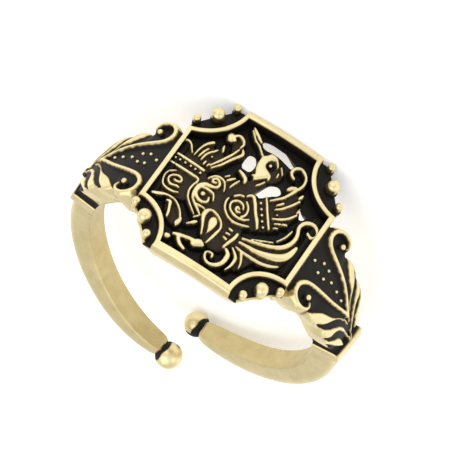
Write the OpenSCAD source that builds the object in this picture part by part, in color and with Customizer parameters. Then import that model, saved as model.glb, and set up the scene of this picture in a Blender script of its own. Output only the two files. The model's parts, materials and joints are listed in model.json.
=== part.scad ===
// Adjustable cast ring: an open hoop with ball ends, leafy shoulders and a pierced plate
// with a winged beast in relief. It is drawn upright about the finger axis, then laid on its side.

/* [Hoop] */
// Diameter of the finger hole
finger_d = 17.5; // [16.5:0.25:18.5]
// Thickness of the shank where it leaves the shoulder
shank_t = 1.7; // [1.3:0.1:1.9]
// Thickness of the shank at its ball end
shank_end_t = 1.5; // [1.2:0.05:1.6]
// Diameter of the two ball ends
ball_d = 2; // [1.7:0.1:2.2]
// How far the left end is sprung along the finger towards the front edge
left_spring = 1.66; // [1.3:0.02:2]
// How far the right end is sprung along the finger towards the back edge
right_spring = 1; // [0.8:0.02:1.3]

/* [Plate] */
// Width of the plate across the hoop
plate_w = 11.4; // [11:0.1:11.8]
// Length of the plate along the finger
plate_l = 12.4; // [12:0.1:12.8]
// Height of the plate's crown above the finger axis
plate_top = 10.5; // [10.3:0.05:10.8]
// Radius of the plate's gentle arch across the hoop
arch_r = 23; // [20:1:30]
// Width of the raised rim
rim_w = 0.36; // [0.3:0.01:0.45]
// Depth of the sunk field below the rim
field_depth = 0.85; // [0.7:0.05:1]

/* [Relief] */
// Depth of the polished lines of the beast below the rim
line_depth = 0.25; // [0.1:0.01:0.3]
// Depth of the beast's wings and body below the rim
body_depth = 0.5; // [0.4:0.05:0.6]
// Depth of the corner ledges below the rim
ledge_depth = 0.55; // [0.4:0.05:0.7]
// Diameter of the large corner beads
big_bead_d = 1; // [0.8:0.05:1.1]
// Diameter of the small corner beads
small_bead_d = 0.66; // [0.5:0.02:0.75]
// Height of the shoulder ridges and leaves above their ground
ridge_h = 0.25; // [0.2:0.05:0.35]

/* [Hidden] */

finger_r = finger_d / 2;
half_w = plate_w / 2;
half_l = plate_l / 2;
// Corner cuts of the rim, as shares of the plate's two sides
cut_x = 0.24 * plate_w;
cut_y = 0.24 * plate_l;
// Depth of each rim corner's hollow arc
corner_sag = 0.8;
// How far the walls of the sides and of the ends lean inwards by the level where the stock ends
side_taper = 0.7;
end_taper = 1.55;
// Height and inward lean of the posts under the corner beads
post_h = 1.7;
post_lean = 0.6;
// Ledges start this far along the straight sides, past the rim's corners, at the brim
ledge_reach = 0.72;
// Ring of ground behind the shoulder ridges
ground_r = finger_r + 2.15;
ridge_r = ground_r + ridge_h;
// Level inside the solid plate from which its relief rises
relief_root = finger_r - 0.6;
// Stock left inside the finger hole until it is bored
bore_stock = 0.3;
// Distance of the ball ends' centres from the finger axis
ball_seat = finger_r + 0.8;
// Angles of the two ball ends, seen from the crown: the left one stands straight below it
left_ball_phi = 180;
right_ball_phi = 178;
// How much further along the finger each ball stands than its shank's curve
ball_out = 0.3;
// Shanks run this far, in degrees, before the centres of their balls
shank_stop = 4.7;
// Height of the upright edge at the top of the side walls
brim_h = 1;

function polar(phi, r, y) = [r * sin(phi), y, r * cos(phi)];
function mix(a, b, t) = a + (b - a) * t;
function unit(v) = v / norm(v);
// A round bar between two points, with the radius at each
module bar(from, to, r_from, r_to, fn) {
    way = to - from;
    translate(from) rotate([0, acos(way[2] / norm(way)), atan2(way[1], way[0])])
        cylinder(r1 = r_from, r2 = r_to, h = norm(way), $fn = fn);
}
// Value at x in a table whose first column rises, from column c
function along(table, x, c) =
    let (i = max([for (k = [0:len(table) - 2]) if (k == 0 || table[k][0] <= x) k]))
    mix(table[i][c], table[i + 1][c], (x - table[i][0]) / (table[i + 1][0] - table[i][0]));

// A smooth curve through knots, n steps from each knot to the next
function knot(k, i) = k[max(0, min(len(k) - 1, i))];
function curve_at(a, b, c, d, t) =
    0.5 * (2 * b + (c - a) * t + (2 * a - 5 * b + 4 * c - d) * t * t
        + (3 * b - a - 3 * c + d) * t * t * t);
function curve(k, n) = concat(
    [for (i = [0:len(k) - 2], s = [0:n - 1])
        curve_at(knot(k, i - 1), k[i], k[i + 1], knot(k, i + 2), s / n)],
    [k[len(k) - 1]]);
// Knots of a spiral: centre, radii at its two ends, first angle, angle turned, and width
function spiral(x, y, r0, r1, from, turn, w) =
    let (n = max(4, ceil(abs(turn) / 60)))
    [for (i = [0:n]) let (a = from + turn * i / n, r = mix(r0, r1, i / n))
        [x + r * cos(a), y + r * sin(a), w]];

// Outline of a line of changing width that runs through knots [x, y, width]
function heading(p, i) = unit([
    knot(p, i + 1)[0] - knot(p, i - 1)[0], knot(p, i + 1)[1] - knot(p, i - 1)[1]]);
function beside(p, i, side) =
    let (h = heading(p, i)) [p[i][0] - side * h[1] * p[i][2] / 2, p[i][1] + side * h[0] * p[i][2] / 2];
function tip(p, i, ahead) =
    let (h = heading(p, i)) [p[i][0], p[i][1]] + ahead * h * p[i][2] / 2;
function line_outline(p) = concat(
    [tip(p, 0, -1)], [for (i = [0:len(p) - 1]) beside(p, i, 1)],
    [tip(p, len(p) - 1, 1)], [for (i = [len(p) - 1:-1:0]) beside(p, i, -1)]);
module line(knots, n = 3) polygon(line_outline(curve(knots, n)));
// Outline of a rounded patch through its corner knots
module patch(k, n = 3) {
    m = len(k);
    polygon([for (i = [0:m - 1], s = [0:n - 1])
        curve_at(k[(i + m - 1) % m], k[i], k[(i + 1) % m], k[(i + 2) % m], s / n)]);
}

// Wings and body, as patches of the beast's middle height
BODY = [
    [[-3, 0.2], [-2, 0.95], [-0.95, 1.3], [0.1, 2.3], [0.85, 1.9], [0.4, 0.8], [-0.5, -1.2],
        [1.3, -1.3], [1.25, -2.6], [0.8, -3.5], [-0.5, -3.9], [-1.5, -2.4], [-2.7, -1.6]],
    // shoulder of the first wing
    [[-5.4, 1.2], [-3, 0.9], [-3, 0], [-3.2, -0.9], [-3, -1.8], [-4.4, -2], [-5.2, -1.4]],
    // feathers of the first wing
    [[-5.3, 2.2], [-4.9, 2.2], [-4.4, 1.6], [-3.75, 3], [-3.4, 2.5], [-2.85, 3], [-2.5, 2.4],
        [-1.85, 3.6], [-1.6, 3.1], [-2.9, 0.9], [-5.3, 1.1]],
    // shoulder of the second wing
    [[0.6, 1], [1.3, 1.4], [2, 0.5], [2.6, -0.4], [1.9, -0.9], [0.5, -1.5], [-0.7, -1], [-0.7, 0]],
    // feathers of the second wing
    [[1.3, 1.4], [2.1, 2], [2.4, 3], [3.1, 2.9], [3.2, 1.9], [3.6, 2], [3.3, 0.9], [2.6, -0.4]],
    // tail
    [[1.2, -2], [3.3, -1.4], [4.1, -0.3], [4.3, 0.8], [4.8, -0.4], [4.5, -2.2], [3.2, -3.1],
        [2.3, -3.9], [1.4, -3.2]]];

// Polished head, haunch, paws and knob, as patches of the lines' height
POLISHED = [
    [[-0.45, 3.9], [-0.2, 4.2], [0.5, 4.4], [0.45, 4.1], [0.05, 3.9], [0.05, 3.4], [0.6, 3.1],
        [0.7, 2.75], [0.3, 2.5], [-0.1, 2.1], [-0.4, 2.4], [-0.3, 2.9]],
    [[-0.95, -2.2], [-0.65, -1.9], [-0.35, -2.2], [-0.4, -2.8], [-0.5, -3.2], [-0.7, -2.8]],
    [[-0.8, -4.1], [-0.5, -3.8], [-0.15, -4.1], [-0.5, -4.5], [-0.9, -4.5]],
    [[-3.1, 3.9], [-2.85, 4.3], [-2.5, 4], [-2.7, 3.5]],
    [[-2.85, -5], [-2.6, -4.6], [-2.4, -4.8], [-2.6, -5.1]],
    [[-2.7, -3.7], [-2.5, -3.2], [-2.4, -3.6], [-2.6, -3.9]]];

// Lines of the first wing, as knots [x, y, width]
WING_A = [
    [[-5.5, 0.2, 0.12], [-4.2, 0.12, 0.14], [-3.15, -0.05, 0.12], [-3.2, -0.8, 0.14], [-2.9, -1.7, 0.08]],
    [[-5.2, 1.02, 0.18], [-3.15, 0.8, 0.16]],
    [[-5.5, 2.2, 0.14], [-4.95, 2.2, 0.14], [-4.6, 1.8, 0.1]],
    [[-4.3, 1.4, 0.1], [-4.15, 2.4, 0.14], [-3.7, 2.9, 0.22]],
    [[-3.9, 1.4, 0.16], [-3.75, 2.3, 0.14]],
    [[-3.65, 1.3, 0.12], [-3.6, 1.9, 0.14], [-3.15, 2.5, 0.12]],
    [[-2.85, 1.6, 0.1], [-2.1, 3, 0.14], [-1.95, 3.9, 0.14], [-2.45, 4.35, 0.26], [-2.8, 4, 0.3]],
    [[-2.6, 1.4, 0.1], [-2, 2.5, 0.2], [-1.65, 3.15, 0.22], [-1.8, 3.5, 0.1]],
    spiral(-4.25, -0.9, 0.12, 0.5, 180, 500, 0.13),
    spiral(-4.2, -0.95, 0.85, 0.85, 125, 190, 0.12)];

// Lines of the breast, haunch and legs
BREAST = [
    [[-1.25, 0.25, 0.08], [-1.5, 0.75, 0.1], [-2, 0.92, 0.1], [-2.5, 0.5, 0.1]],
    [[-2.2, 0.3, 0.14], [-2.05, 0.62, 0.14], [-1.75, 0.4, 0.14], [-1.85, 0.02, 0.16],
        [-2.5, -0.1, 0.24], [-2.85, -0.5, 0.34], [-2.75, -1.2, 0.16], [-2.3, -1.75, 0.14],
        [-1.7, -2.4, 0.1]],
    [[-1.5, -0.9, 0.08], [-1.75, -0.5, 0.14], [-2.4, -0.4, 0.16]],
    spiral(-2.15, -0.9, 0.45, 0.5, 190, 190, 0.14),
    [[-1.65, -1.8, 0.12], [-2.3, -1.8, 0.14]],
    [[-1.35, 1.05, 0.16], [-1.15, 1.35, 0.12]],
    [[-1, 0.75, 0.12], [-0.85, 1.3, 0.1]],
    [[-1.1, 2.05, 0.2], [-0.65, 1.9, 0.24], [-0.45, 1.6, 0.16]],
    [[-0.75, -3.5, 0.1], [-1.1, -2.8, 0.14], [-1.38, -2, 0.28], [-0.95, -1.62, 0.2], [-0.2, -1.85, 0.1],
        [0.02, -2.5, 0.1], [-0.08, -3.1, 0.16], [-0.2, -3.8, 0.1]],
    [[-0.6, -4.3, 0.3], [-1.6, -4.4, 0.22], [-2.2, -4.5, 0.2], [-1.8, -4.75, 0.22], [-1.2, -5.1, 0.2]],
    [[-4.95, -2.45, 0.26], [-4.2, -2.22, 0.12], [-3.4, -2.3, 0.1], [-2.6, -3.2, 0.12]],
    [[-3.85, -2.55, 0.14], [-3.55, -3, 0.16], [-3.35, -3.8, 0.12]],
    [[-1.95, -3.3, 0.12], [-1.55, -3, 0.2]]];

// Lines of the second wing, the ear and the brow
WING_B = [
    [[2.15, 3.85, 0.14], [1.75, 4.05, 0.2], [1.8, 4.6, 0.18], [2.3, 4.7, 0.2], [2.8, 4, 0.18],
        [2.6, 2.9, 0.2], [2.2, 1.9, 0.14], [1.7, 1.4, 0.1]],
    [[2.55, 3.35, 0.12], [2.15, 3, 0.24]],
    [[2.25, 1.05, 0.1], [2.85, 1.8, 0.12], [3.15, 2.5, 0.14]],
    [[3, 2.6, 0.1], [3.1, 3.1, 0.14]],
    [[2.1, 1.3, 0.08], [2.4, 1.8, 0.1]],
    [[2.5, 0.4, 0.08], [3.1, 0.85, 0.12], [3.55, 1.6, 0.1], [3.6, 2.05, 0.14]],
    [[2.75, 0.15, 0.08], [3.1, 0.4, 0.1]],
    [[0.3, 0.8, 0.12], [0.7, 0.85, 0.2], [1.2, 0.2, 0.18], [1.9, -0.8, 0.16]],
    [[1.3, 1.35, 0.12], [2, 0.4, 0.18], [2.55, -0.4, 0.14]],
    spiral(0.2, -0.45, 0.12, 0.55, 120, 420, 0.14),
    [[0.45, 0.35, 0.08], [0.8, -0.1, 0.12], [0.75, -0.85, 0.12], [0.2, -1, 0.12]],
    [[-0.5, 0.2, 0.1], [0.1, 0.6, 0.12]],
    [[-0.75, -0.4, 0.1], [-0.5, -1.1, 0.1], [0.4, -1.45, 0.12], [1.5, -1.15, 0.1]],
    [[-2, 5.45, 0.1], [-1.5, 5.15, 0.24], [-1.1, 4.8, 0.14]],
    [[-2, 5.3, 0.08], [-1.3, 4.7, 0.12], [-0.85, 4.25, 0.12], [-0.5, 4.05, 0.1]],
    [[1, 3.9, 0.08], [1.28, 3.6, 0.08]]];

// Lines of the tail
TAIL = [
    [[1.6, -2.1, 0.12], [2.6, -1.85, 0.2], [3.7, -1.2, 0.28], [4.3, -0.2, 0.3], [4.2, 0.8, 0.28],
        [4.3, 1.6, 0.3], [4.9, 1.85, 0.26], [5.35, 1.4, 0.2], [4.95, 0.98, 0.16]],
    [[2.1, -1.7, 0.06], [3.2, -1.1, 0.08], [3.85, -0.2, 0.08], [3.95, 0.6, 0.06]],
    [[1.55, -2.45, 0.12], [2.8, -2.35, 0.28], [4.1, -1.75, 0.45], [4.7, -0.95, 0.4], [4.75, -0.35, 0.2]],
    [[1.6, -3, 0.08], [2.8, -2.95, 0.14], [3.6, -2.85, 0.22], [4.45, -2.4, 0.1]],
    [[1.15, -2.1, 0.18], [1.05, -2.8, 0.14], [0.9, -3.35, 0.2]],
    [[1.15, -3.5, 0.2], [1.45, -4.1, 0.3], [1.15, -5, 0.26], [0.5, -5.05, 0.16], [0.15, -4.55, 0.1],
        [0.45, -4.3, 0.12], [0.6, -4.55, 0.14]],
    [[1.45, -3.1, 0.1], [1.9, -3.6, 0.22], [1.95, -4.3, 0.12], [1.85, -4.75, 0.08]],
    [[2, -3.05, 0.12], [2.3, -3.5, 0.14], [2.45, -4.05, 0.08]]];

// Small beads in the wings' bands and at the eyes, as [x, y, radius]
DOTS = concat(
    [for (i = [0:5]) [-5.2 + 0.4 * i, 0.66 - 0.035 * i, 0.08]],
    [for (i = [0:4]) [1.2 + 0.25 * i, 0.8 - 0.34 * i, 0.09]],
    [[-2.25, -0.8, 0.16], [0.32, 3.62, 0.1], [-2.87, 2.95, 0.11], [-3.2, 1.95, 0.08]]);

// Openings cut through the floor of the field
OPENINGS = [
    [[-1.35, 2.6], [-1.3, 3.9], [-0.9, 4.1], [-0.55, 3.5], [-0.5, 2.9], [-0.8, 2.3], [-1.15, 2.3]],
    [[-1, 4.95], [-0.9, 5.6], [0.4, 5.75], [1.6, 5.6], [1.7, 4.9], [1.35, 4.4], [0.6, 4.6], [-0.6, 4.75]],
    [[0.65, 1.3], [0.9, 2.3], [1.2, 3], [1.7, 3.1], [1.95, 2.7], [1.65, 2], [1.2, 1.5]],
    [[3.65, 1.9], [3.65, 2.5], [3.85, 2.7], [4, 2.4], [3.85, 1.8]]];

// Rim outline: straight sides joined by four hollow arcs
module rim_outline(inset) {
    chord = norm([cut_x, cut_y]);
    arc_r = (chord * chord / 4 + corner_sag * corner_sag) / (2 * corner_sag);
    out = unit([cut_y, cut_x]);
    centre = [half_w - cut_x / 2, half_l - cut_y / 2] + out * (arc_r - corner_sag);
    difference() {
        square([plate_w - 2 * inset, plate_l - 2 * inset], center = true);
        for (x = [-1, 1], y = [-1, 1])
            translate([x * centre[0], y * centre[1]]) circle(arc_r + inset, $fn = 96);
    }
}

// Everything under the arched surface that lies this far below the rim
module under_arch(depth) {
    translate([0, 0, plate_top - arch_r])
        rotate([90, 0, 0]) cylinder(r = arch_r - depth, h = 2 * plate_l, center = true, $fn = 180);
}

// Upright walls of a flat drawing, cut off by the arch at the given depth
module raised(depth) {
    intersection() {
        translate([0, 0, relief_root]) linear_extrude(plate_top - relief_root) children();
        under_arch(depth);
    }
}

// Plan of the block under the rim, with its corners cut straight
module block_plan(side_inset, end_inset) {
    reach = ledge_reach + 0.3 * (side_inset + end_inset);
    x = half_w - side_inset;
    y = half_l - end_inset;
    cx = cut_x - reach;
    cy = cut_y - reach;
    polygon([[x, y - cy], [x - cx, y], [cx - x, y], [-x, y - cy],
        [-x, cy - y], [cx - x, -y], [x - cx, -y], [x, cy - y]]);
}

// Outer walls of the plate: upright at the top, sloping inwards below
module walls() {
    hull() {
        translate([0, 0, finger_r - 3]) linear_extrude(0.01) block_plan(side_taper, end_taper);
        translate([0, 0, plate_top - brim_h]) linear_extrude(1) block_plan(0, 0);
    }
}

module block() {
    intersection() {
        walls();
        under_arch(ledge_depth);
    }
}

module rim() {
    intersection() {
        walls();
        raised(0) rim_outline(0);
    }
}

// Three beads at each corner of the plate
module corner_beads() {
    // place of each bead, as shares of the plate's half sides, and its diameter; the far beads
    // stand further out than the near ones
    spots = [[0.79, 0.77, big_bead_d], [0.97, 0.645, small_bead_d], [0.645, 0.943, small_bead_d]];
    for (sx = [-1, 1], sy = [-1, 1], s = spots) {
        x = s[0] * half_w;
        y = s[1] * half_l + (sy > 0 ? 0.1 : -0.2);
        z = plate_top - x * x / (2 * arch_r);
        top = [sx * x, sy * y, z];
        translate(top) sphere(d = s[2], $fn = 32);
        bar(top, top - [sx * post_lean, sy * post_lean, post_h], 0.46 * s[2], 0.42 * s[2], 32);
    }
}

// The beast rises from inside the solid plate, within the rim
module beast() {
    raised(body_depth) for (p = BODY) patch(p);
    raised(line_depth) {
        for (p = POLISHED) patch(p);
        for (set = [WING_A, BREAST, WING_B, TAIL], k = set) line(k);
    }
    for (d = DOTS) {
        z = plate_top - d[0] * d[0] / (2 * arch_r) - line_depth - d[2];
        translate([d[0], d[1], z]) sphere(r = d[2], $fn = 16);
        translate([d[0], d[1], relief_root]) cylinder(r = d[2], h = z - relief_root, $fn = 16);
    }
}

module plate() {
    difference() {
        union() {
            block();
            rim();
            corner_beads();
        }
        // sunk field
        difference() {
            translate([0, 0, finger_r - 2]) linear_extrude(6) rim_outline(rim_w);
            under_arch(field_depth);
        }
    }
}

module pierced_plate() {
    difference() {
        union() {
            plate();
            beast();
        }
        for (k = OPENINGS) translate([0, 0, finger_r - 2]) linear_extrude(4) patch(k);
    }
}

// Swept solid: rings of points, each ring with the same number of points
module sweep(rings) {
    n = len(rings);
    m = len(rings[0]);
    polyhedron(
        [for (r = rings, p = r) p],
        concat(
            [[for (i = [m - 1:-1:0]) i]],
            [for (j = [0:n - 2], i = [0:m - 1], h = [0, 1])
                let (a = j * m + i, b = j * m + (i + 1) % m)
                h == 0 ? [a, b, a + m] : [b, b + m, a + m]],
            [[for (i = [0:m - 1]) (n - 1) * m + i]]));
}

// Half of the hoop. Columns: angle from the plate's crown, half width
SHANK = [[70, 1.35], [84, 1.3], [92, 1.12], [100, 0.97], [115, 0.88], [135, 0.86], [155, 0.8], [174, 0.66]];
function spring_y(phi, s) = phi < 90 ? 0 : s * pow(-cos(phi), 2.3);
function shank_r(phi) = finger_r + mix(shank_t, shank_end_t, (phi - 70) / 104);
function shank_ring(phi, s) =
    let (w = along(SHANK, phi, 1), r = shank_r(phi), y = spring_y(phi, s))
    [for (p = [[-1, finger_r - bore_stock], [-1, r - 0.45], [-0.55, r], [0.55, r], [1, r - 0.45],
            [1, finger_r - bore_stock]])
        polar(phi, p[1], y + p[0] * w)];
module shank(phi, s)
    sweep([for (i = [0:26]) shank_ring(mix(70, phi - shank_stop, i / 26), s)]);

function ball_at(phi, s) = polar(phi, ball_seat, spring_y(phi, s) + sign(s) * ball_out);
module ball_end(phi, s) {
    at = ball_at(phi, s);
    root = phi - shank_stop - 2;
    translate(at) sphere(d = ball_d, $fn = 48);
    // neck between the ball and the shank
    bar(polar(root, ball_seat - 0.15, spring_y(root, s)), at, 0.55, 0.55, 32);
}

// Ground of the shoulder. Columns: angle, half width at the hole, half width at the top edge,
// drop of the top edge below the centre line, radius of the centre line above the hole
SHOULDER = [
    [27, 2.9, 2.7, 0.05, 2.1], [34, 2.9, 2.65, 0.05, 2.2], [41, 2.6, 2.35, 0.1, 2.15],
    [45, 2.4, 2.3, 0.15, 2.15], [50, 2.15, 2.5, 0.2, 2.15], [54, 2, 2.6, 0.25, 2.15],
    [57.5, 1.95, 2.3, 0.25, 2.12], [62, 1.9, 2.4, 0.3, 2.1], [66, 1.8, 2.05, 0.3, 2.05],
    [70, 1.65, 1.9, 0.3, 2], [73.5, 1.5, 1.5, 0.3, 1.9], [79, 1.35, 1.3, 0.25, 1.75]];
function shoulder_ring(row) =
    [for (p = [[-row[1], -0.3], [-row[2], row[4] - row[3]], [-row[2] / 2, row[4] - row[3] / 4],
            [row[2] / 2, row[4] - row[3] / 4], [row[2], row[4] - row[3]], [row[1], -0.3]])
        polar(row[0], finger_r + p[1], p[0])];

// Height of the polished leaves above the finger hole, lower towards the edges
function leaf_top(y) = 2.3 - 0.05 * y * y;
// A raised line that follows the hoop, through knots [angle, distance from the centre line, width]
function band_ring(p, i, top) =
    let (h = heading([for (q = p) [q[0] * ground_r * PI / 180, q[1], q[2]]], i), w = p[i][2] / 2,
        t = top == 0 ? leaf_top(p[i][1]) : top)
    [for (q = [[-1.15, 1.2], [-1.15, t - 0.12], [-0.6, t], [0.6, t], [1.15, t - 0.12], [1.15, 1.2]])
        let (side = q[0] * w)
        polar(p[i][0] - side * h[1] / ground_r * 180 / PI, finger_r + q[1], p[i][1] + side * h[0])];
module band(knots, top, n = 2) {
    p = curve(knots, n);
    sweep([for (i = [0:len(p) - 1]) band_ring(p, i, top)]);
}

// Ridge from the point of the shoulder to its scroll
RIDGE = [[61.2, 0.02, 0.3], [56, 0.44, 0.2], [46, 1.1, 0.22], [39, 1.45, 0.22], [35.6, 1.8, 0.26],
    [34.2, 2.4, 0.28], [35.8, 3, 0.28], [39.6, 3.25, 0.28], [43, 2.95, 0.24], [43, 2.55, 0.12]];
// Three leaves on each slope, from the spine out to the edge
LEAVES = [
    [[66.2, 0.12, 0.1], [61, 0.75, 0.2], [57.2, 1.3, 0.4], [52.8, 1.95, 0.95], [48, 2.2, 0.55],
        [45, 2.25, 0.2]],
    [[71.2, 0.12, 0.1], [68, 0.65, 0.16], [64.8, 1.15, 0.35], [61, 1.8, 0.85], [57, 2.2, 0.3]],
    [[73.4, 0.4, 0.2], [71, 0.9, 0.3], [68.2, 1.4, 0.6], [64.8, 1.9, 0.25]]];
SPINE = [[61, 0, 0.2], [66, 0, 0.16], [72, 0, 0.16], [79, 0, 0.14]];
// Granules of the dark field, as [angle, distance from the centre line]
GRANULES = [[34.3, 0], [38.1, 0.42], [38.1, -0.42], [41.5, 0.37], [41.5, -0.37],
    [45.3, 0], [49.8, 0], [54.2, 0]];

module scroll() {
    bar(polar(40.5, finger_r - 0.3, 2.02), polar(39.2, ridge_r - 0.25, 2.32), 0.9, 1, 48);
    translate(polar(40.1, ridge_r, 2.3)) sphere(r = 0.25, $fn = 24);
}

module shoulder() {
    sweep([for (row = SHOULDER) shoulder_ring(row)]);
    for (y = [0, 1]) mirror([0, y, 0]) {
        scroll();
        band(RIDGE, ridge_r - finger_r);
        for (k = LEAVES) band(k, 0);
    }
    band(SPINE, leaf_top(0) - 0.05);
    for (g = GRANULES)
        translate(polar(g[0], ground_r, g[1])) sphere(r = 0.16, $fn = 16);
    // lip at the end of the shoulder
    sweep([for (row = [[78.2, 1.45, 1.4, 0.1, 2.2], [78.6, 1.5, 1.5, 0.1, 2.35],
            [80.9, 1.5, 1.5, 0.1, 2.35], [81.4, 1.4, 1.35, 0.1, 2.1]]) shoulder_ring(row)]);
}

// The ring stood upright about the finger axis
module upright() {
    difference() {
        union() {
            pierced_plate();
            for (x = [0, 1]) mirror([x, 0, 0]) {
                shoulder();
                phi = x == 0 ? right_ball_phi : left_ball_phi;
                spring = x == 0 ? right_spring : -left_spring;
                shank(phi, spring);
                ball_end(phi, spring);
            }
        }
        rotate([90, 0, 0]) cylinder(r = finger_r, h = 40, center = true, $fn = 180);
    }
}

// The ring rests on the lower edge of the plate's brim and on its right ball end
ball = ball_at(right_ball_phi, right_spring);
brim_z = plate_top - brim_h;
span = [half_l - ball[1], brim_z - ball[2]];
tilt = atan2(span[0], span[1]) - asin(ball_d / 2 / norm(span));
lift = half_l * cos(tilt) - brim_z * sin(tilt);
// Front and back ends of the laid ring, which is centred between them
front = -half_l * sin(tilt) - plate_top * cos(tilt);
left_ball = ball_at(left_ball_phi, -left_spring);
back = -left_ball[1] * sin(tilt) - left_ball[2] * cos(tilt) + ball_d / 2;

module ring() color("darkgoldenrod")
    translate([0, -(front + back) / 2, lift]) rotate([tilt - 90, 0, 180]) upright();

ring();
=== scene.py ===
"""Open cast ring with ball ends, scrolled shoulders and a pierced plate with a winged beast.

The pieces are shaped upright in millimetres: X across the plate, Y along the finger, Z out of the plate.
Each is then laid on its side, in metres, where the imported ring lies.
"""
import json
import math

import bpy
import numpy as np
from mathutils import Matrix, Vector


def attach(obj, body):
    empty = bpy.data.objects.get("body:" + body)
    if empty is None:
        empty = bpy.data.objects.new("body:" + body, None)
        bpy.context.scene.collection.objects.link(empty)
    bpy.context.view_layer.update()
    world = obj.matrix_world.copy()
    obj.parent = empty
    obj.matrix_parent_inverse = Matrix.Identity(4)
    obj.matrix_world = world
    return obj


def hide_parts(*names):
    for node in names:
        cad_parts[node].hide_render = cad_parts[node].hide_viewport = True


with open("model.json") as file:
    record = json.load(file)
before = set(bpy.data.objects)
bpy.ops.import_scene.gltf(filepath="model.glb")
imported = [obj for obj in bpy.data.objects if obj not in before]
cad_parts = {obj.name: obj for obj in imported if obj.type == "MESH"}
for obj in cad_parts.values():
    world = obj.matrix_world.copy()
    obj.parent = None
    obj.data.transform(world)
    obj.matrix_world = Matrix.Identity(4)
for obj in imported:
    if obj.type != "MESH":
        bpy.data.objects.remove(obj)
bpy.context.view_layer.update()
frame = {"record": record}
hole = frame["record"]["mounts"][0]

# sizes in millimetres

FINGER_R = 8.75
HALF_W, HALF_L = 5.7, 6.2            # half sides of the plate
CROWN, ARCH_R = 10.49, 23.0          # top of the plate and the radius of its gentle arch
CUT = (2.73, 2.98)                   # corner cuts of the rim
RIM_W = 0.34
FIELD = 0.95                         # depth of the dark ground below the rim
BODY_H, LINE_H = -0.56, -0.27        # levels of the beast's body and of its polished lines
LINE_SPREAD = 0.016                  # lines are this much wider on each side than their knots say
STEEP = 4.5                          # fall of the sides of what is polished, for one millimetre out
LEDGE = 0.55                         # depth of the corner ledges below the rim
LEDGE_REACH = 0.72                   # how far the ledges run along the straight sides
WALL_TOP = 0.6                       # depth of the walls' top edge below the rim
BRIM_Z = CROWN - 0.95                # the walls lean in below this level
SIDE_LEAN, END_LEAN = 0.187, 0.40    # lean of the side and end walls for one millimetre down
NOTCH, CORNER_LEAN = 0.10, 0.25      # corner walls stand back between the beads, and lean in more
CORNER_Z = 9.3                       # a level near the top of the corner walls
GROUND_R, RIDGE_R = 10.88, 11.13     # shoulders: dark ground and polished ridge
LEAFY_R, LEAF_R = 10.86, 11.03       # ground under the leaves, and the leaves
BAND_R, VEIN_R = 10.5, 10.95         # black band before the lip, and the veins between the leaves
LIP = (78.0, 78.5, 82.7, 83.2)       # angles between which the shoulder's lip rises, and then falls

# polish of each kind of surface, from bare metal to black recess; the shank and the inside faces are set
# darker than bare metal as painted shade
BARE, WALL, SHANK_SHADE, INSIDE_SHADE, WING, DARK = 1.0, 0.93, 0.86, 0.78, 0.24, 0.0


# working tools

def pick(piece):
    """Leaves this piece alone selected and active."""
    if bpy.context.mode != "OBJECT":
        bpy.ops.object.mode_set(mode="OBJECT")
    bpy.ops.object.select_all(action="DESELECT")
    piece.select_set(True)
    bpy.context.view_layer.objects.active = piece


def added(name):
    """The primitive just added, named, with its place put into its mesh."""
    piece = bpy.context.object
    piece.name = piece.data.name = name
    bpy.ops.object.transform_apply(location=True, rotation=True, scale=True)
    return piece


def points(piece):
    """Places of a mesh's points, one row each."""
    co = np.empty(len(piece.data.vertices) * 3)
    piece.data.vertices.foreach_get("co", co)
    return co.reshape(-1, 3)


def set_points(piece, co):
    """Moves a mesh's points to these places."""
    piece.data.vertices.foreach_set("co", np.asarray(co, float).ravel())
    piece.data.update()


def select(piece, kind, wanted):
    """Selects the mesh parts for which wanted is true, and enters edit mode."""
    pick(piece)
    mesh = piece.data
    for part in (mesh.vertices, mesh.edges, mesh.polygons):
        part.foreach_set("select", np.zeros(len(part), bool))
    getattr(mesh, kind).foreach_set("select", np.asarray(wanted, bool))
    bpy.context.tool_settings.mesh_select_mode = (kind == "vertices", kind == "edges", kind == "polygons")
    bpy.ops.object.mode_set(mode="EDIT")


def select_whole(piece):
    """Selects a whole mesh, and enters edit mode."""
    pick(piece)
    bpy.ops.object.mode_set(mode="EDIT")
    bpy.ops.mesh.select_all(action="SELECT")


def select_open_edges(piece):
    """Selects the edges that have a face on one side only, and enters edit mode."""
    pick(piece)
    bpy.ops.object.mode_set(mode="EDIT")
    bpy.context.tool_settings.mesh_select_mode = (False, True, False)
    bpy.ops.mesh.select_all(action="DESELECT")
    bpy.ops.mesh.select_non_manifold(extend=False, use_wire=False, use_boundary=True,
                                     use_multi_face=False, use_non_contiguous=False, use_verts=False)


def leave_edit():
    bpy.ops.object.mode_set(mode="OBJECT")


def draw_out(x, y, z):
    """Extrudes what is selected."""
    bpy.ops.mesh.extrude_region_move(TRANSFORM_OT_translate={"value": (x, y, z)})


def finish_mesh(piece):
    """Merges seams and turns all faces outwards."""
    select_whole(piece)
    bpy.ops.mesh.remove_doubles(threshold=1e-5)
    bpy.ops.mesh.normals_make_consistent(inside=False)
    leave_edit()


def close_ends(piece):
    """Fills the open loops that are left on a tube."""
    select_open_edges(piece)
    bpy.ops.mesh.edge_face_add()
    leave_edit()


def set_polish(piece, values):
    """Gives each point its polish, from 0 for black to 1 for bare."""
    layer = piece.data.attributes.get("polish") or piece.data.attributes.new("polish", "FLOAT", "POINT")
    layer.data.foreach_set("value", np.clip(np.asarray(values, float), 0, 1))


def polar(phi, r, y):
    """Point at an angle from the plate's crown, in degrees, round the finger."""
    a = np.radians(phi)
    return np.stack(np.broadcast_arrays(r * np.sin(a), y, r * np.cos(a)), -1)


def blend_in(a, b, x):
    """Rises smoothly from 0 at a to 1 at b."""
    t = np.clip((x - a) / (b - a), 0, 1)
    return t * t * (3 - 2 * t)


def table(rows, x, column):
    """Value in a column at x, from rows that start with a rising x."""
    rows = np.array(rows, float)
    return np.interp(x, rows[:, 0], rows[:, column])


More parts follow.
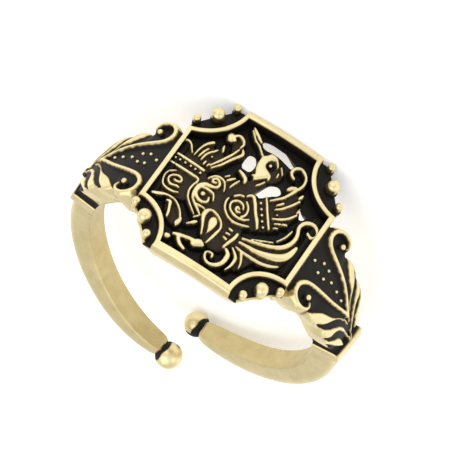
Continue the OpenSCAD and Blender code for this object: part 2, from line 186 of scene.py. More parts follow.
def smooth(knots, steps, closed=False):
    """A smooth curve through knots with any number of columns."""
    k = np.array(knots, float)
    n = len(k)
    t = np.linspace(0, 1, steps, endpoint=False)[:, None]
    out = []
    for i in range(n if closed else n - 1):
        if closed:
            a, b, c, d = (k[(i + s) % n] for s in (-1, 0, 1, 2))
        else:
            a, b, c, d = (k[min(max(i + s, 0), n - 1)] for s in (-1, 0, 1, 2))
        out.append(0.5 * (2 * b + (c - a) * t + (2 * a - 5 * b + 4 * c - d) * t ** 2
                          + (3 * b - a - 3 * c + d) * t ** 3))
    if not closed:
        out.append(k[-1:])
    return np.concatenate(out)


class Relief:
    """Heights and polish over a flat drawing, worked up from a ground."""

    def __init__(self, u, v, ground, edge):
        self.u, self.v, self.edge = u, v, edge
        self.height = np.array(ground, float)
        self.polish = np.zeros_like(self.height)
        # uneven polishing along the edges of everything raised
        self.wear = 0.009 * (np.sin(9.1 * u + 4.3 * v) + np.sin(6.7 * v - 11.3 * u + 1.1)
                             + np.sin(17.9 * v + 13.7 * u + 2.3)) - 0.012

    def near(self, low, high, margin):
        """Points in a box that is grown by a margin."""
        return np.nonzero((self.u > low[0] - margin) & (self.u < high[0] + margin)
                          & (self.v > low[1] - margin) & (self.v < high[1] + margin))[0]

    def raise_to(self, at, height, outside, polish):
        """Lifts these points to a height, with polish where they are inside its outline."""
        self.height[at] = np.maximum(self.height[at], height)
        cover = np.clip(0.5 - (outside + self.wear[at]) / self.edge, 0, 1)
        self.polish[at] = polish * cover + self.polish[at] * (1 - cover)

    def line(self, knots, top, slope=STEEP):
        """A bare, rounded line through knots [u, v, width], with steep sides."""
        run = smooth(knots, 6)
        at = self.near(run[:, :2].min(0), run[:, :2].max(0), 0.4)
        p = np.stack((self.u[at], self.v[at]), 1)
        nearest = np.full(len(at), 9.0)
        half = np.full(len(at), 0.1)
        for a, b in zip(run[:-1], run[1:]):
            way = b[:2] - a[:2]
            long2 = max(way @ way, 1e-9)
            t = np.clip(((p - a[:2]) @ way) / long2, 0, 1)
            away = np.hypot(*(p - a[:2] - t[:, None] * way).T)
            w = (a[2] + (b[2] - a[2]) * t) / 2 + LINE_SPREAD
            closer = away - w < nearest - half
            nearest[closer] = away[closer]
            half[closer] = w[closer]
        outside = nearest - half
        round_off = 0.4 * half * np.minimum(nearest / half, 1.2) ** 2
        self.raise_to(at, top - round_off - slope * np.maximum(outside, 0), outside, BARE)

    def patch(self, knots, top, polish, slope, round_w):
        """A patch inside a smooth closed outline, rounded over a width along it."""
        crown = 0.1
        loop = smooth(knots, 5, closed=True)
        at = self.near(loop.min(0), loop.max(0), 0.4)
        outside = outside_of(loop, self.u[at], self.v[at])
        inner = np.clip(1 + outside / round_w, 0, 1) ** 2
        drop = np.where(outside < 0, crown * inner, crown + slope * outside)
        self.raise_to(at, top - drop, outside, polish)

    def hollow(self, u, v, radius, floor):
        """A round dark hollow."""
        at = self.near((u - radius, v - radius), (u + radius, v + radius), 0.1)
        away = np.hypot(self.u[at] - u, self.v[at] - v)
        depth = blend_in(radius * 1.1, radius * 0.75, away)
        self.height[at] = self.height[at] * (1 - depth) + np.minimum(self.height[at], floor) * depth
        self.polish[at] *= 1 - depth


def outside_of(loop, u, v):
    """Distance to a closed outline, negative inside it."""
    dist = np.full(len(u), 99.0)
    inside = np.zeros(len(u), bool)
    for a, b in zip(loop, np.roll(loop, -1, 0)):
        way = b - a
        t = np.clip(((u - a[0]) * way[0] + (v - a[1]) * way[1]) / max(way @ way, 1e-12), 0, 1)
        dist = np.minimum(dist, np.hypot(u - a[0] - t * way[0], v - a[1] - t * way[1]))
        if a[1] != b[1]:
            crosses = (a[1] > v) != (b[1] > v)
            inside ^= crosses & (u < (b[0] - a[0]) * (v - a[1]) / (b[1] - a[1]) + a[0])
    return np.where(inside, -dist, dist)


def soften(grid, times):
    """Averages each point of a grid with its neighbours."""
    for _ in range(times):
        wide = np.pad(grid, 1, mode="edge")
        grid[:] = 0.4 * grid + 0.15 * (wide[:-2, 1:-1] + wide[2:, 1:-1] + wide[1:-1, :-2] + wide[1:-1, 2:])


def sheet(name, nu, nv):
    """A flat sheet of nu by nv cells, with the column and row of each of its points."""
    bpy.ops.mesh.primitive_grid_add(x_subdivisions=nu, y_subdivisions=nv, size=2)
    piece = added(name)
    co = points(piece)
    i, j = (np.rint((co[:, c] + 1) / 2 * n).astype(int) for c, n in enumerate((nu, nv)))
    return piece, i, j


# laying the ring on its side

AXIS = Vector(hole["axis"]).normalized()
LAY = Matrix.Translation(hole["pos_m"]) @ Matrix((
    (-1, 0, 0), (0, -AXIS.y, -AXIS.z), (0, -AXIS.z, AXIS.y))).to_4x4()
LAY_MM = LAY @ Matrix.Scale(0.001, 4)


def lay_down(piece, crisp=40):
    """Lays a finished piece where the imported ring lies, and gives it its metal."""
    pick(piece)
    piece.data.transform(LAY_MM)
    bpy.ops.object.shade_smooth_by_angle(angle=math.radians(crisp))
    piece.data.materials.clear()
    piece.data.materials.append(ANTIQUE_BRASS)
    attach(piece, "root")
    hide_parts("ring")


# metal

def antique_brass():
    """Pale polished brass whose recesses are blackened. It follows the polish of each point."""
    metal = bpy.data.materials.new("antique_brass")
    metal.use_nodes = True
    tree = metal.node_tree
    tree.nodes.clear()

    def node(kind, **values):
        n = tree.nodes.new(kind)
        for k, v in values.items():
            setattr(n, k, v)
        return n

    def math_node(op, a, b=None, c=None, clamp=False):
        n = node("ShaderNodeMath", operation=op, use_clamp=clamp)
        for i, x in enumerate((a, b, c)):
            if x is None:
                continue
            if isinstance(x, (int, float)):
                n.inputs[i].default_value = x
            else:
                tree.links.new(x, n.inputs[i])
        return n.outputs[0]

    def noise(scale, detail, rough, stretch=None):
        n = node("ShaderNodeTexNoise")
        n.inputs["Scale"].default_value = scale
        n.inputs["Detail"].default_value = detail
        n.inputs["Roughness"].default_value = rough
        src = place.outputs["Object"]
        if stretch:
            mapping = node("ShaderNodeMapping")
            mapping.inputs["Scale"].default_value = stretch
            mapping.inputs["Rotation"].default_value = (0.3, 0.5, 0.8)
            tree.links.new(src, mapping.inputs["Vector"])
            src = mapping.outputs[0]
        tree.links.new(src, n.inputs["Vector"])
        return n.outputs["Fac"]

    def span(value, low, high, at_low, at_high):
        n = node("ShaderNodeMapRange")
        for name, x in (("From Min", low), ("From Max", high), ("To Min", at_low), ("To Max", at_high)):
            n.inputs[name].default_value = x
        tree.links.new(value, n.inputs["Value"])
        return n.outputs[0]

    def ramp(value, stops):
        n = node("ShaderNodeValToRGB")
        while len(n.color_ramp.elements) < len(stops):
            n.color_ramp.elements.new(0.5)
        for e, (pos, colour) in zip(n.color_ramp.elements, stops):
            e.position = pos
            e.color = colour + (1,)
        tree.links.new(value, n.inputs[0])
        return n.outputs["Color"]

    place = node("ShaderNodeTexCoord")
    polish = node("ShaderNodeAttribute", attribute_name="polish", attribute_type="GEOMETRY").outputs["Fac"]
    cloud = noise(900, 5, 0.6)
    grain = noise(9000, 6, 0.65)
    fine = noise(30000, 3, 0.5)
    scratches = noise(6000, 3, 0.6, (1, 14, 1))

    # the edge of the black is broken by the grain of the casting
    broken = math_node("MULTIPLY_ADD", math_node("SUBTRACT", grain, 0.5), 0.08, polish)
    broken = math_node("MULTIPLY_ADD", math_node("SUBTRACT", cloud, 0.5), 0.14, broken, clamp=True)
    metal_colour = ramp(broken, [
        (0.0, (0.007, 0.0052, 0.003)),
        (0.2, (0.014, 0.0095, 0.005)),
        (0.42, (0.085, 0.056, 0.026)),
        (0.68, (0.50, 0.395, 0.185)),
        (1.0, (0.84, 0.73, 0.42))])
    # faint clouds and streaks of wear on the bare metal
    tone = node("ShaderNodeMix", data_type="RGBA", blend_type="MULTIPLY")
    tone.inputs["Factor"].default_value = 1
    tree.links.new(metal_colour, tone.inputs["A"])
    tree.links.new(ramp(math_node("MULTIPLY_ADD", scratches, 0.5, math_node("MULTIPLY", cloud, 0.5)), [
        (0.3, (0.86, 0.84, 0.80)), (0.5, (0.97, 0.96, 0.94)), (0.7, (1, 1, 1))]), tone.inputs["B"])

    surface = node("ShaderNodeBsdfPrincipled")
    surface.inputs["Specular IOR Level"].default_value = 0.22
    tree.links.new(tone.outputs["Result"], surface.inputs["Base Color"])
    # the black is dull, without the shine of metal
    tree.links.new(span(broken, 0.25, 0.6, 0.0, 1.0), surface.inputs["Metallic"])
    rough = math_node("SUBTRACT", span(broken, 0.2, 0.8, 0.58, 0.35), 0.06)
    tree.links.new(math_node("MULTIPLY_ADD", scratches, 0.12, rough), surface.inputs["Roughness"])
    bump = node("ShaderNodeBump")
    bump.inputs["Strength"].default_value = 0.35
    bump.inputs["Distance"].default_value = 0.00003
    uneven = math_node("MULTIPLY_ADD", fine, 0.25, math_node("MULTIPLY_ADD", grain, 0.6,
                       math_node("MULTIPLY", scratches, 0.3)))
    tree.links.new(uneven, bump.inputs["Height"])
    tree.links.new(bump.outputs[0], surface.inputs["Normal"])
    out = node("ShaderNodeOutputMaterial")
    tree.links.new(surface.outputs[0], out.inputs["Surface"])
    return metal


ANTIQUE_BRASS = antique_brass()


# hoop

# degrees before the ball's centre, half width, thickness
HOOP = [
    (0, 0.48, 0.9), (3.7, 0.48, 0.9), (4.3, 0.57, 1.08), (5.4, 0.64, 1.24), (7.5, 0.7, 1.38),
    (12, 0.75, 1.54), (20, 0.8, 1.75), (32, 0.84, 1.92), (50, 0.87, 1.98), (66, 0.9, 1.93),
    (78, 0.97, 1.85), (88, 1.1, 1.75), (95, 1.17, 1.7), (102, 1.2, 1.66), (112, 1.2, 1.64)]
LEFT_SPRING, RIGHT_SPRING = -1.66, 1.0   # how far the free ends are sprung along the finger
LEFT_BALL, RIGHT_BALL = 180.0, 178.0     # angles of the ball ends from the crown
END_GAP = 3.7                            # the hoop ends this many degrees before a ball's centre
BALL_SEAT = FINGER_R + 0.8


def spring(phi, s):
    """How far the hoop is sprung along the finger at an angle, if its end is sprung by s."""
    back = np.maximum(-np.cos(np.radians(phi)), 0)
    return s * (back ** 2.3 + 0.06 * blend_in(72, 95, phi))


def hoop_half(name, side, s, ball):
    """A flat D is spun round the finger, then tapered towards its ball and sprung to one side."""
    start, stop = 70.0, ball - END_GAP
    flat = [(u, 0.0) for u in (-0.96, -0.5, 0.0, 0.5, 0.96)]
    dome = [(math.copysign(abs(math.cos(a)) ** 0.5, math.cos(a)), 0.46 + 0.54 * math.sin(a) ** 0.9)
            for a in np.radians(np.arange(8, 173, 11.714))]
    wall = [(1.0, 0.04), (1.0, 0.2), (1.0, 0.36)]
    section = flat + wall + dome + [(-u, v) for u, v in wall[::-1]]
    bpy.ops.mesh.primitive_circle_add(vertices=len(section), radius=1)
    piece = added(name)
    uv = np.array(section)
    set_points(piece, polar(side * start, FINGER_R + uv[:, 1], uv[:, 0]))
    select_whole(piece)
    turn = -side * math.radians(stop - start)
    bpy.ops.mesh.spin(steps=120, angle=turn, center=(0, 0, 0), axis=(0, 1, 0))
    leave_edit()
    co = points(piece)
    phi = np.degrees(np.arctan2(co[:, 0] * side, co[:, 2]))
    # the last degrees are packed closer, where the end narrows
    share = (phi - start) / (stop - start)
    phi = start + (stop - start) * np.where(share < 0.9, share / 0.9 * 0.965, 0.965 + (share - 0.9) * 0.35)
    v = np.hypot(co[:, 0], co[:, 2]) - FINGER_R
    thick = table(HOOP, ball - phi, 2)
    width = table(HOOP, ball - phi, 1)
    # its end stands a little off the finger
    tuck = 0.12 * blend_in(5.2, END_GAP, ball - phi)
    # inside the shoulder its inner face lies a little deeper in the metal than the shoulder's own
    tuck = tuck + 0.06 * blend_in(LIP[3], 82.0, phi) * (1 - v)
    set_points(piece, polar(side * phi, FINGER_R + tuck + v * thick, co[:, 1] * width + spring(phi, s)))
    close_ends(piece)
    finish_mesh(piece)
    co = points(piece)
    phi = np.degrees(np.arctan2(co[:, 0] * side, co[:, 2]))
    r = np.hypot(co[:, 0], co[:, 2])
    # the shank is painted a little darker than bare metal, and its face on the finger darker still, as
    # painted shade
    shade_and_joints = np.where(r < FINGER_R + 0.03, INSIDE_SHADE, SHANK_SHADE)
    shade_and_joints = np.where(ball - phi < 3.8, 0.1, shade_and_joints)
    # the hoop is dark up to just beyond the lip of the shoulder
    shade_and_joints = shade_and_joints * (0.1 + 0.9 * blend_in(83.5, 84.9, phi))
    set_polish(piece, shade_and_joints)
    lay_down(piece, 32)


def ball_end(name, side, s, centre, radius, ball, darkened_side=None):
    """A sphere whose cap towards the hoop is black, and drawn in to a short neck."""
    centre = Vector(centre)
    foot = Vector(polar(side * (ball - 6.5), FINGER_R + 0.68, spring(ball - 6.5, s)))
    towards = (foot - centre).normalized()
    bpy.ops.mesh.primitive_uv_sphere_add(segments=56, ring_count=36, radius=radius)
    piece = added(name)
    centres = np.array([f.center for f in piece.data.polygons])
    select(piece, "polygons", centres[:, 2] > radius * math.cos(math.radians(34)))
    draw_out(0, 0, 0.02)
    bpy.ops.transform.resize(value=(0.94, 0.94, 0.6))
    draw_out(0, 0, (foot - centre).length - radius)
    bpy.ops.transform.resize(value=(1, 1, 0.3))
    leave_edit()
    co = points(piece)
    uneven = 0.04 * np.sin(5.1 * co[:, 0] + 1.2) + 0.03 * np.sin(6.3 * co[:, 1])
    polish = 1 - blend_in(radius * 0.33, radius * 0.43, co[:, 2] + uneven)
    piece.data.transform(Matrix.Translation(centre) @ towards.to_track_quat("Z", "Y").to_matrix().to_4x4())
    if darkened_side:
        # one side of the ball is darkened
        facing = (points(piece) - np.array(centre)) @ np.array(darkened_side) / radius
        polish = polish * (1 - 0.85 * blend_in(0.78, 0.9, facing))
    set_polish(piece, polish)
    finish_mesh(piece)
    lay_down(piece)


# plate: wall, corner ledges and rim

OUT = np.array([CUT[1], CUT[0]]) / math.hypot(*CUT)          # outwards across a corner cut
CHORD = math.hypot(*CUT)
# beads of a corner, as place and radius: big bead, small side bead, small end bead
FAR_BEADS = [(4.50, 4.89, 0.47), (5.55, 3.99, 0.28), (3.70, 6.03, 0.28)]
NEAR_BEADS = [(4.50, 4.57, 0.46), (5.55, 3.81, 0.28), (3.70, 5.66, 0.28)]


def top_z(x):
    """Height of the plate's arched top."""
    return CROWN - x * x / (2 * ARCH_R)


def corner_arc(x, y):
    """Radius of the hollow arc of the corner on this side, and its centre as in the first quarter."""
    sag = np.where(x < 0, np.where(y < 0, 0.80, 0.74), np.where(y < 0, 0.93, 0.90))
    radius = (CHORD ** 2 / 4 + sag ** 2) / (2 * sag)
    away = radius - sag
    return radius, HALF_W - CUT[0] / 2 + OUT[0] * away, HALF_L - CUT[1] / 2 + OUT[1] * away


def end_rim(y):
    """The rim is wider along the ends than along the sides."""
    return np.where(y < 0, 1.6, 1.2)


def rim_reach(theta, inset):
    """Distance from the plate's centre to the rim's outline, moved in by inset."""
    x, y = np.cos(theta), np.sin(theta)
    cx, cy = np.abs(x), np.abs(y)
    reach = np.minimum((HALF_W - inset) / np.maximum(cx, 1e-9),
                       (HALF_L - inset * end_rim(y)) / np.maximum(cy, 1e-9))
    radius, mx, my = corner_arc(x, y)
    along = cx * mx + cy * my
    inside = along ** 2 - (mx ** 2 + my ** 2 - (radius + inset) ** 2)
    hit = along - np.sqrt(np.maximum(inside, 0))
    return np.where(inside > 0, np.minimum(reach, hit), reach)


def wall_reach(theta, z, lobes):
    """Distance to the wall at a level: leaning sides, cut corners, and a lobe round each bead's post."""
    cx, cy = np.abs(np.cos(theta)), np.abs(np.sin(theta))
    down = np.maximum(BRIM_Z - z, 0)
    w, l = HALF_W - SIDE_LEAN * down, HALF_L - END_LEAN * down
    cut_x, cut_y = CUT[0] - LEDGE_REACH, CUT[1] - LEDGE_REACH
    reach = np.minimum(w / np.maximum(cx, 1e-9), l / np.maximum(cy, 1e-9))
    back = (NOTCH + CORNER_LEAN * down) * math.hypot(cut_x, cut_y)
    cut = (cut_y * w + cut_x * (l - cut_y) - back) / (cx * cut_y + cy * cut_x)
    reach = np.minimum(reach, cut)
    near = np.sin(theta) < 0
    # a lobe is a little smaller than its bead, and stands further in at each level down
    for (fx, fy, fr), (nx, ny, nr) in zip(FAR_BEADS, NEAR_BEADS):
        bx, by, br = np.where(near, nx, fx), np.where(near, ny, fy), np.where(near, nr, fr)
        r = br * 0.97 * lobes
        slide = 0.34 * np.maximum(top_z(bx) - LEDGE - z, 0)
        mx, my = bx - OUT[0] * slide, by - OUT[1] * slide
        along = cx * mx + cy * my
        inside = along ** 2 - (mx ** 2 + my ** 2 - r ** 2)
        far = along + np.sqrt(np.maximum(inside, 0))
        reach = np.where((inside > 0) & (r > 0.02), np.maximum(reach, far), reach)
    return reach


def half_length(x, y, inset):
    """Half length of the rim's outline at x, on the side of y, moved in by inset."""
    radius, mx, my = corner_arc(x, y)
    x = np.abs(x)
    under = (radius + inset) ** 2 - (x - mx) ** 2
    arc = my - np.sqrt(np.maximum(under, 0))
    end = HALF_L - inset * end_rim(y)
    return np.where((under > 0) & (x > HALF_W - CUT[0] - 1), np.minimum(end, arc), end)


def row_lengths(x, y, inset):
    """Half length of the panel at x, and its average over the places beside it."""
    reach = HALF_W - inset
    beside = [half_length(np.clip(x + step, -reach, reach), y, inset)
              for step in np.linspace(-0.9, 0.9, 13)]
    return half_length(x, y, inset), np.mean(beside, 0)


def row_length(edge, calm, share):
    """The rows of the panel follow its outline only close to it."""
    return calm + (edge - calm) * blend_in(0.74, 0.98, np.abs(share))


def on_post(theta):
    """True in the directions of a corner bead's post."""
    x, y = np.cos(theta), np.sin(theta)
    found = np.zeros(len(theta), bool)
    for side, beads in ((y > 0, FAR_BEADS), (y <= 0, NEAR_BEADS)):
        for bx, by, br in beads:
            found |= side & (np.abs(np.abs(x) * by - np.abs(y) * bx) < br * 0.9)
    return found


def plate_frame():
    """A sheet rolled round the plate: up the wall, over the ledge and the rim, and down to the field."""
    around = 1200
    # 8 loops up the wall, 3 over the ledge, 13 over the rim and one at the foot, each with:
    # share of the way down or inset, size of the lobes, depth below the rim's top, polish
    loops = [
        ("wall", 1.0, 0.0, 0, WALL), ("wall", 0.8, 0.25, 0, WALL), ("wall", 0.6, 0.55, 0, WALL),
        ("wall", 0.42, 0.8, 0, WALL), ("wall", 0.28, 0.92, 0, WALL), ("wall", 0.15, 1.0, 0, WALL),
        ("wall", 0.05, 1.0, 0, 0.6), ("wall", 0.0, 1.0, 0, 0.2),
        ("ledge", 0.03, 1.0, 0.56, 0.05), ("ledge", 0.14, 1.0, 0.545, DARK), ("ledge", 0.2, 1.0, 0.54, DARK),
        ("rim", -0.02, 0, 0.50, DARK), ("rim", 0.0, 0, 0.30, 0.1), ("rim", 0.0, 0, 0.12, 0.75),
        ("rim", 0.02, 0, 0.05, BARE), ("rim", 0.06, 0, 0.012, BARE), ("rim", 0.12, 0, 0.0, BARE),
        ("rim", RIM_W - 0.13, 0, 0.0, BARE), ("rim", RIM_W - 0.07, 0, 0.012, BARE),
        ("rim", RIM_W - 0.02, 0, 0.05, BARE), ("rim", RIM_W, 0, 0.11, 0.6),
        ("rim", RIM_W + 0.02, 0, 0.2, DARK), ("rim", RIM_W + 0.03, 0, 0.5, DARK),
        ("rim", RIM_W + 0.04, 0, FIELD + 0.05, DARK),
        # the foot lies on the finger hole and is given painted shade
        ("foot", 0, 0, 0, INSIDE_SHADE)]
    piece, i, j = sheet("plate_frame", around, len(loops))
    theta = 2 * math.pi * (i % around) / around
    # the rim's corners fall exactly on a point
    for c in (math.atan2(HALF_L - CUT[1], HALF_W), math.atan2(HALF_L, HALF_W - CUT[0])):
        for corner in (c, math.pi - c, math.pi + c, 2 * math.pi - c):
            k = round(corner / (2 * math.pi) * around)
            theta[(i % around) == k] = corner
    straight = rim_reach(theta, 0) + 0.02 > wall_reach(theta, BRIM_Z, 1.0)
    lobed = on_post(theta)
    slant = np.degrees(np.arctan2(np.abs(np.sin(theta)), np.abs(np.cos(theta))))
    between = (slant > 35) & (slant < 57)
    # underneath, the corners and the ends are filled further in
    ends = blend_in(54, 66, slant)
    foot_w = 0.42 + 1.3 * blend_in(24, 36, slant) * (1 - ends) + 0.55 * ends
    uncut = np.minimum(HALF_W / np.maximum(np.abs(np.cos(theta)), 1e-9),
                       HALF_L / np.maximum(np.abs(np.sin(theta)), 1e-9))
    corner = wall_reach(theta, CORNER_Z, 0.0) < 0.97 * uncut
    co = np.zeros((len(i), 3))
    polish = np.zeros(len(i))
    # the last row of the sheet lies on its first
    for k in range(len(loops) + 1):
        kind, inset, lobes, depth, shine = loops[k % len(loops)]
        at = j == k
        th = theta[at]
        if kind in ("wall", "foot"):
            # the wall's level depends on its place, and its place on the level
            z = np.full(len(th), CORNER_Z)
            for _ in range(4):
                reach = wall_reach(th, z, lobes) - (foot_w[at] if kind == "foot" else 0)
                x = reach * np.cos(th)
                foot = np.sqrt(FINGER_R ** 2 - x ** 2)
                edge = top_z(x) - WALL_TOP
                z = foot if kind == "foot" else edge + (foot - edge) * inset
        elif kind == "ledge":
            reach = wall_reach(th, top_z(5.0 * np.abs(np.cos(th))) - depth, lobes) - inset
            reach = np.maximum(reach, rim_reach(th, 0) + 0.002)
            z = top_z(reach * np.cos(th)) - depth
        else:
            reach = rim_reach(th, inset)
            z = top_z(reach * np.cos(th)) - depth
            if k in (11, 12):
                # on the straight sides the wall runs on up to the rim
                z = np.where(straight[at], top_z(reach * np.cos(th)) - (0.46 if k == 11 else 0.28), z)
        co[at] = np.stack((reach * np.cos(th), reach * np.sin(th), z), 1)
        shine = np.full(at.sum(), float(shine))
        if 6 <= k <= 13:
            # with no ledge there, these loops are bare
            shine = np.where(straight[at], WALL, shine)
        if 1 <= k <= 10:
            # the far corners have dark posts, and hollows that turn black upwards
            # the near corners are bare up to the ledge
            near = np.sin(th) < 0
            hollow = corner[at] & ~lobed[at] & (between[at] | (k > 7)) & (~near | (k > 9))
            shine = np.where(hollow, max(0.1 * (5 - k), DARK), shine)
            shine = np.where(corner[at] & near & (k < 10), WALL, shine)
            shine = np.where(lobed[at] & ~near, 0.1, shine)
        polish[at] = shine
    set_points(piece, co)
    set_polish(piece, polish)
    finish_mesh(piece)
    pierce(piece)
    lay_down(piece, 35)


def bead(name, at, radius, post, lean=(0.0, 0.0)):
    """A sphere whose lower faces are drawn down into a post."""
    bpy.ops.mesh.primitive_uv_sphere_add(segments=28, ring_count=18, radius=radius)
    piece = added(name)
    centres = np.array([f.center for f in piece.data.polygons])
    select(piece, "polygons", centres[:, 2] < -0.25 * radius)
    for part in (0.4, 0.6):
        draw_out(lean[0] * part, lean[1] * part, -post * part)
    bpy.ops.transform.resize(value=(0.9, 0.9, 1))
    leave_edit()
    co = points(piece)
    # posts are dark, apart from the outer side of those at the near corners
    outer = -(co[:, 0] * lean[0] + co[:, 1] * lean[1]) / (radius * max(math.hypot(*lean), 1e-6))
    under = 0.1 + 0.9 * blend_in(-0.1, 0.45, outer) * (lean[1] > 0)
    top = blend_in(-radius * 0.9, -radius * 0.25, co[:, 2])
    set_polish(piece, top + (1 - top) * under)
    piece.data.transform(Matrix.Translation(at))
    finish_mesh(piece)
    return piece


def corner_beads():
    """A big bead between two small ones on each corner ledge."""
    for sx in (-1, 1):
        for sy in (-1, 1):
            for k, (bx, by, br) in enumerate(NEAR_BEADS if sy < 0 else FAR_BEADS):
                at = (sx * bx, sy * by, top_z(bx) + (0.02 if k == 0 else -0.05))
                lay_down(bead(f"corner_bead_{(sx + 1) + (sy + 1) // 2}_{k}", at, br, 0.7,
                              (-sx * 0.08, -sy * 0.08)))


# plate: the winged beast

# dull patches of body and wings, each an outline
BODY = [
    [(-3.0, 0.2), (-2.55, 0.75), (-2, 1.0), (-1.5, 1.3), (-0.95, 1.45), (-0.5, 1.7), (-0.1, 2.2),
     (0.6, 2.5), (0.85, 1.9), (0.45, 0.9), (-0.2, 0.6), (-0.75, 0.0), (-0.7, -0.7), (0.2, -1.5),
     (1.1, -1.4), (1.35, -2.4), (1.0, -3.5), (0.5, -3.9), (-0.2, -3.9), (-0.8, -3.6), (-1.3, -2.8),
     (-1.9, -2.3), (-2.7, -1.7), (-3.05, -0.9)],
    [(-5.6, 1.25), (-3.0, 0.95), (-2.95, 0), (-3.2, -0.9), (-3.0, -1.7), (-3.6, -1.95), (-4.4, -2.05),
     (-5.0, -1.8), (-5.4, -1.2), (-5.6, 0.0)],
    [(-5.5, 2.3), (-4.95, 2.35), (-4.5, 1.9), (-4.3, 2.5), (-3.75, 3.05), (-3.4, 2.75), (-2.95, 3.05),
     (-2.5, 2.6), (-2.0, 3.4), (-1.6, 3.2), (-2.1, 2.2), (-2.9, 0.95), (-5.5, 1.1)],
    [(0.3, 0.85), (0.8, 0.95), (1.35, 1.45), (2, 0.6), (2.6, -0.4), (1.95, -0.95), (1.4, -1.25),
     (0.5, -1.5), (-0.3, -1.3), (-0.72, -0.5), (-0.5, 0.3)],
    [(1.4, 1.4), (2.0, 2.0), (2.4, 3.1), (3.1, 3.0), (3.2, 2.4), (3.6, 2.0), (3.5, 1.1), (3.3, 0.6),
     (2.6, -0.4)],
    [(1.2, -2), (2.2, -1.85), (3.3, -1.4), (4.1, -0.6), (4.3, 0.8), (4.8, -0.4), (4.6, -2.0), (3.9, -2.8),
     (3.0, -3.1), (2.5, -4.1), (2.1, -4.3), (1.7, -3.4), (1.1, -3.0)],
    [(-0.5, 3.9), (0.2, 4.5), (1.0, 4.1), (1.4, 3.5), (1.15, 2.9), (0.75, 2.5), (0.3, 2.2), (-0.2, 2.1),
     (-0.5, 2.8)],
    [(-2.6, 4.1), (-2.2, 4.3), (-1.9, 3.9), (-1.7, 3.3), (-2.2, 3.0), (-2.5, 3.5)],
    [(-4.0, -2.5), (-3.4, -2.3), (-2.7, -2.9), (-2.4, -3.8), (-3.0, -3.8), (-3.6, -3.3)]]

# bare, rounded patches, each an outline
POLISHED = [
    [(-0.5, 3.97), (-0.29, 4.18), (-0.04, 4.52), (0.4, 4.46), (0.53, 4.27), (0.35, 4.12), (0.12, 3.97),
     (0.03, 3.64), (0.14, 3.36), (0.48, 3.18), (0.7, 3.05), (0.79, 2.83), (0.74, 2.6), (0.57, 2.7),
     (0.4, 2.5), (0.18, 2.27), (-0.08, 2.05), (-0.21, 2.23), (-0.40, 2.31), (-0.24, 2.52), (-0.42, 2.92),
     (-0.5, 3.36)],
    [(-0.86, -1.98), (-0.6, -1.9), (-0.34, -2.17), (-0.33, -2.56), (-0.42, -2.99), (-0.56, -3.2),
     (-0.68, -2.9), (-0.9, -2.35)],
    [(-0.55, -3.86), (-0.18, -4.15), (-0.5, -4.47), (-0.8, -4.6), (-1.07, -4.47), (-0.98, -4.08)],
    [(-3.26, 4.08), (-3.1, 4.38), (-2.79, 4.33), (-2.6, 4.02), (-2.72, 3.72), (-3.02, 3.68)],
    [(-2.88, -4.95), (-2.78, -4.72), (-2.5, -4.66), (-2.34, -4.82), (-2.45, -5.04), (-2.7, -5.1)],
    [(-2.72, -3.72), (-2.6, -3.25), (-2.42, -3.2), (-2.35, -3.6), (-2.5, -3.95)]]

# bare lines, each with knots of place and width
FIRST_WING = [
    [(-5.24, 1.01, 0.16), (-4.2, 0.89, 0.16), (-3.11, 0.75, 0.14)],
    [(-5.55, 0.25, 0.14), (-4.6, 0.16, 0.15), (-3.59, 0.05, 0.14), (-3.16, -0.01, 0.13),
     (-3.03, -0.2, 0.12), (-3.13, -0.6, 0.11), (-3.16, -1.0, 0.11), (-3.07, -1.34, 0.11),
     (-2.94, -1.62, 0.11), (-2.63, -1.95, 0.1), (-2.29, -2.25, 0.09), (-1.98, -2.51, 0.06)],
    [(-4.37, -0.9, 0.1), (-4.2, -0.95, 0.13), (-3.96, -0.88, 0.13), (-3.94, -0.69, 0.12),
     (-4.16, -0.53, 0.12), (-4.46, -0.56, 0.12), (-4.7, -0.73, 0.13), (-4.76, -0.99, 0.13),
     (-4.59, -1.25, 0.13), (-4.33, -1.34, 0.13), (-4.03, -1.27, 0.12), (-3.83, -1.3, 0.09)],
    [(-4.62, -0.26, 0.06), (-4.8, -0.34, 0.1), (-4.98, -0.5, 0.12), (-5.09, -0.82, 0.12),
     (-5.03, -1.21, 0.12), (-4.85, -1.56, 0.12), (-4.55, -1.73, 0.12), (-4.24, -1.77, 0.12),
     (-3.94, -1.77, 0.11), (-3.68, -1.67, 0.08)],
    [(-5.55, 2.2, 0.12), (-5.16, 2.27, 0.15), (-4.85, 2.1, 0.14), (-4.63, 1.79, 0.12),
     (-4.48, 1.58, 0.08)],
    [(-4.26, 1.5, 0.06), (-4.22, 1.95, 0.1), (-4.11, 2.4, 0.13), (-3.92, 2.74, 0.17), (-3.68, 3.0, 0.2)],
    [(-3.96, 1.55, 0.08), (-3.86, 2.0, 0.13), (-3.7, 2.38, 0.1)],
    [(-3.7, 1.4, 0.08), (-3.62, 1.9, 0.13), (-3.45, 2.22, 0.12), (-3.32, 2.36, 0.09)],
    [(-3.39, 1.2, 0.12), (-3.36, 1.42, 0.1)],
    [(-3.12, 1.2, 0.1), (-3.08, 1.36, 0.08)],
    [(-3.3, 2.34, 0.09), (-3.22, 2.5, 0.12), (-3.14, 2.6, 0.08)],
    [(-2.95, 3.12, 0.1), (-2.9, 2.93, 0.14), (-2.81, 2.72, 0.1)],
    [(-2.95, 1.38, 0.08), (-2.72, 1.78, 0.13), (-2.46, 2.27, 0.14), (-2.16, 2.92, 0.13),
     (-2.0, 3.42, 0.11)],
    [(-2.8, 1.2, 0.08), (-2.37, 1.79, 0.14), (-2.07, 2.4, 0.16), (-1.74, 2.97, 0.19), (-1.62, 3.27, 0.19),
     (-1.78, 3.56, 0.1)],
    [(-2.62, 3.95, 0.2), (-2.78, 4.18, 0.15), (-2.5, 4.4, 0.19), (-2.16, 4.27, 0.19), (-1.96, 3.97, 0.16),
     (-2.0, 3.62, 0.1)]]

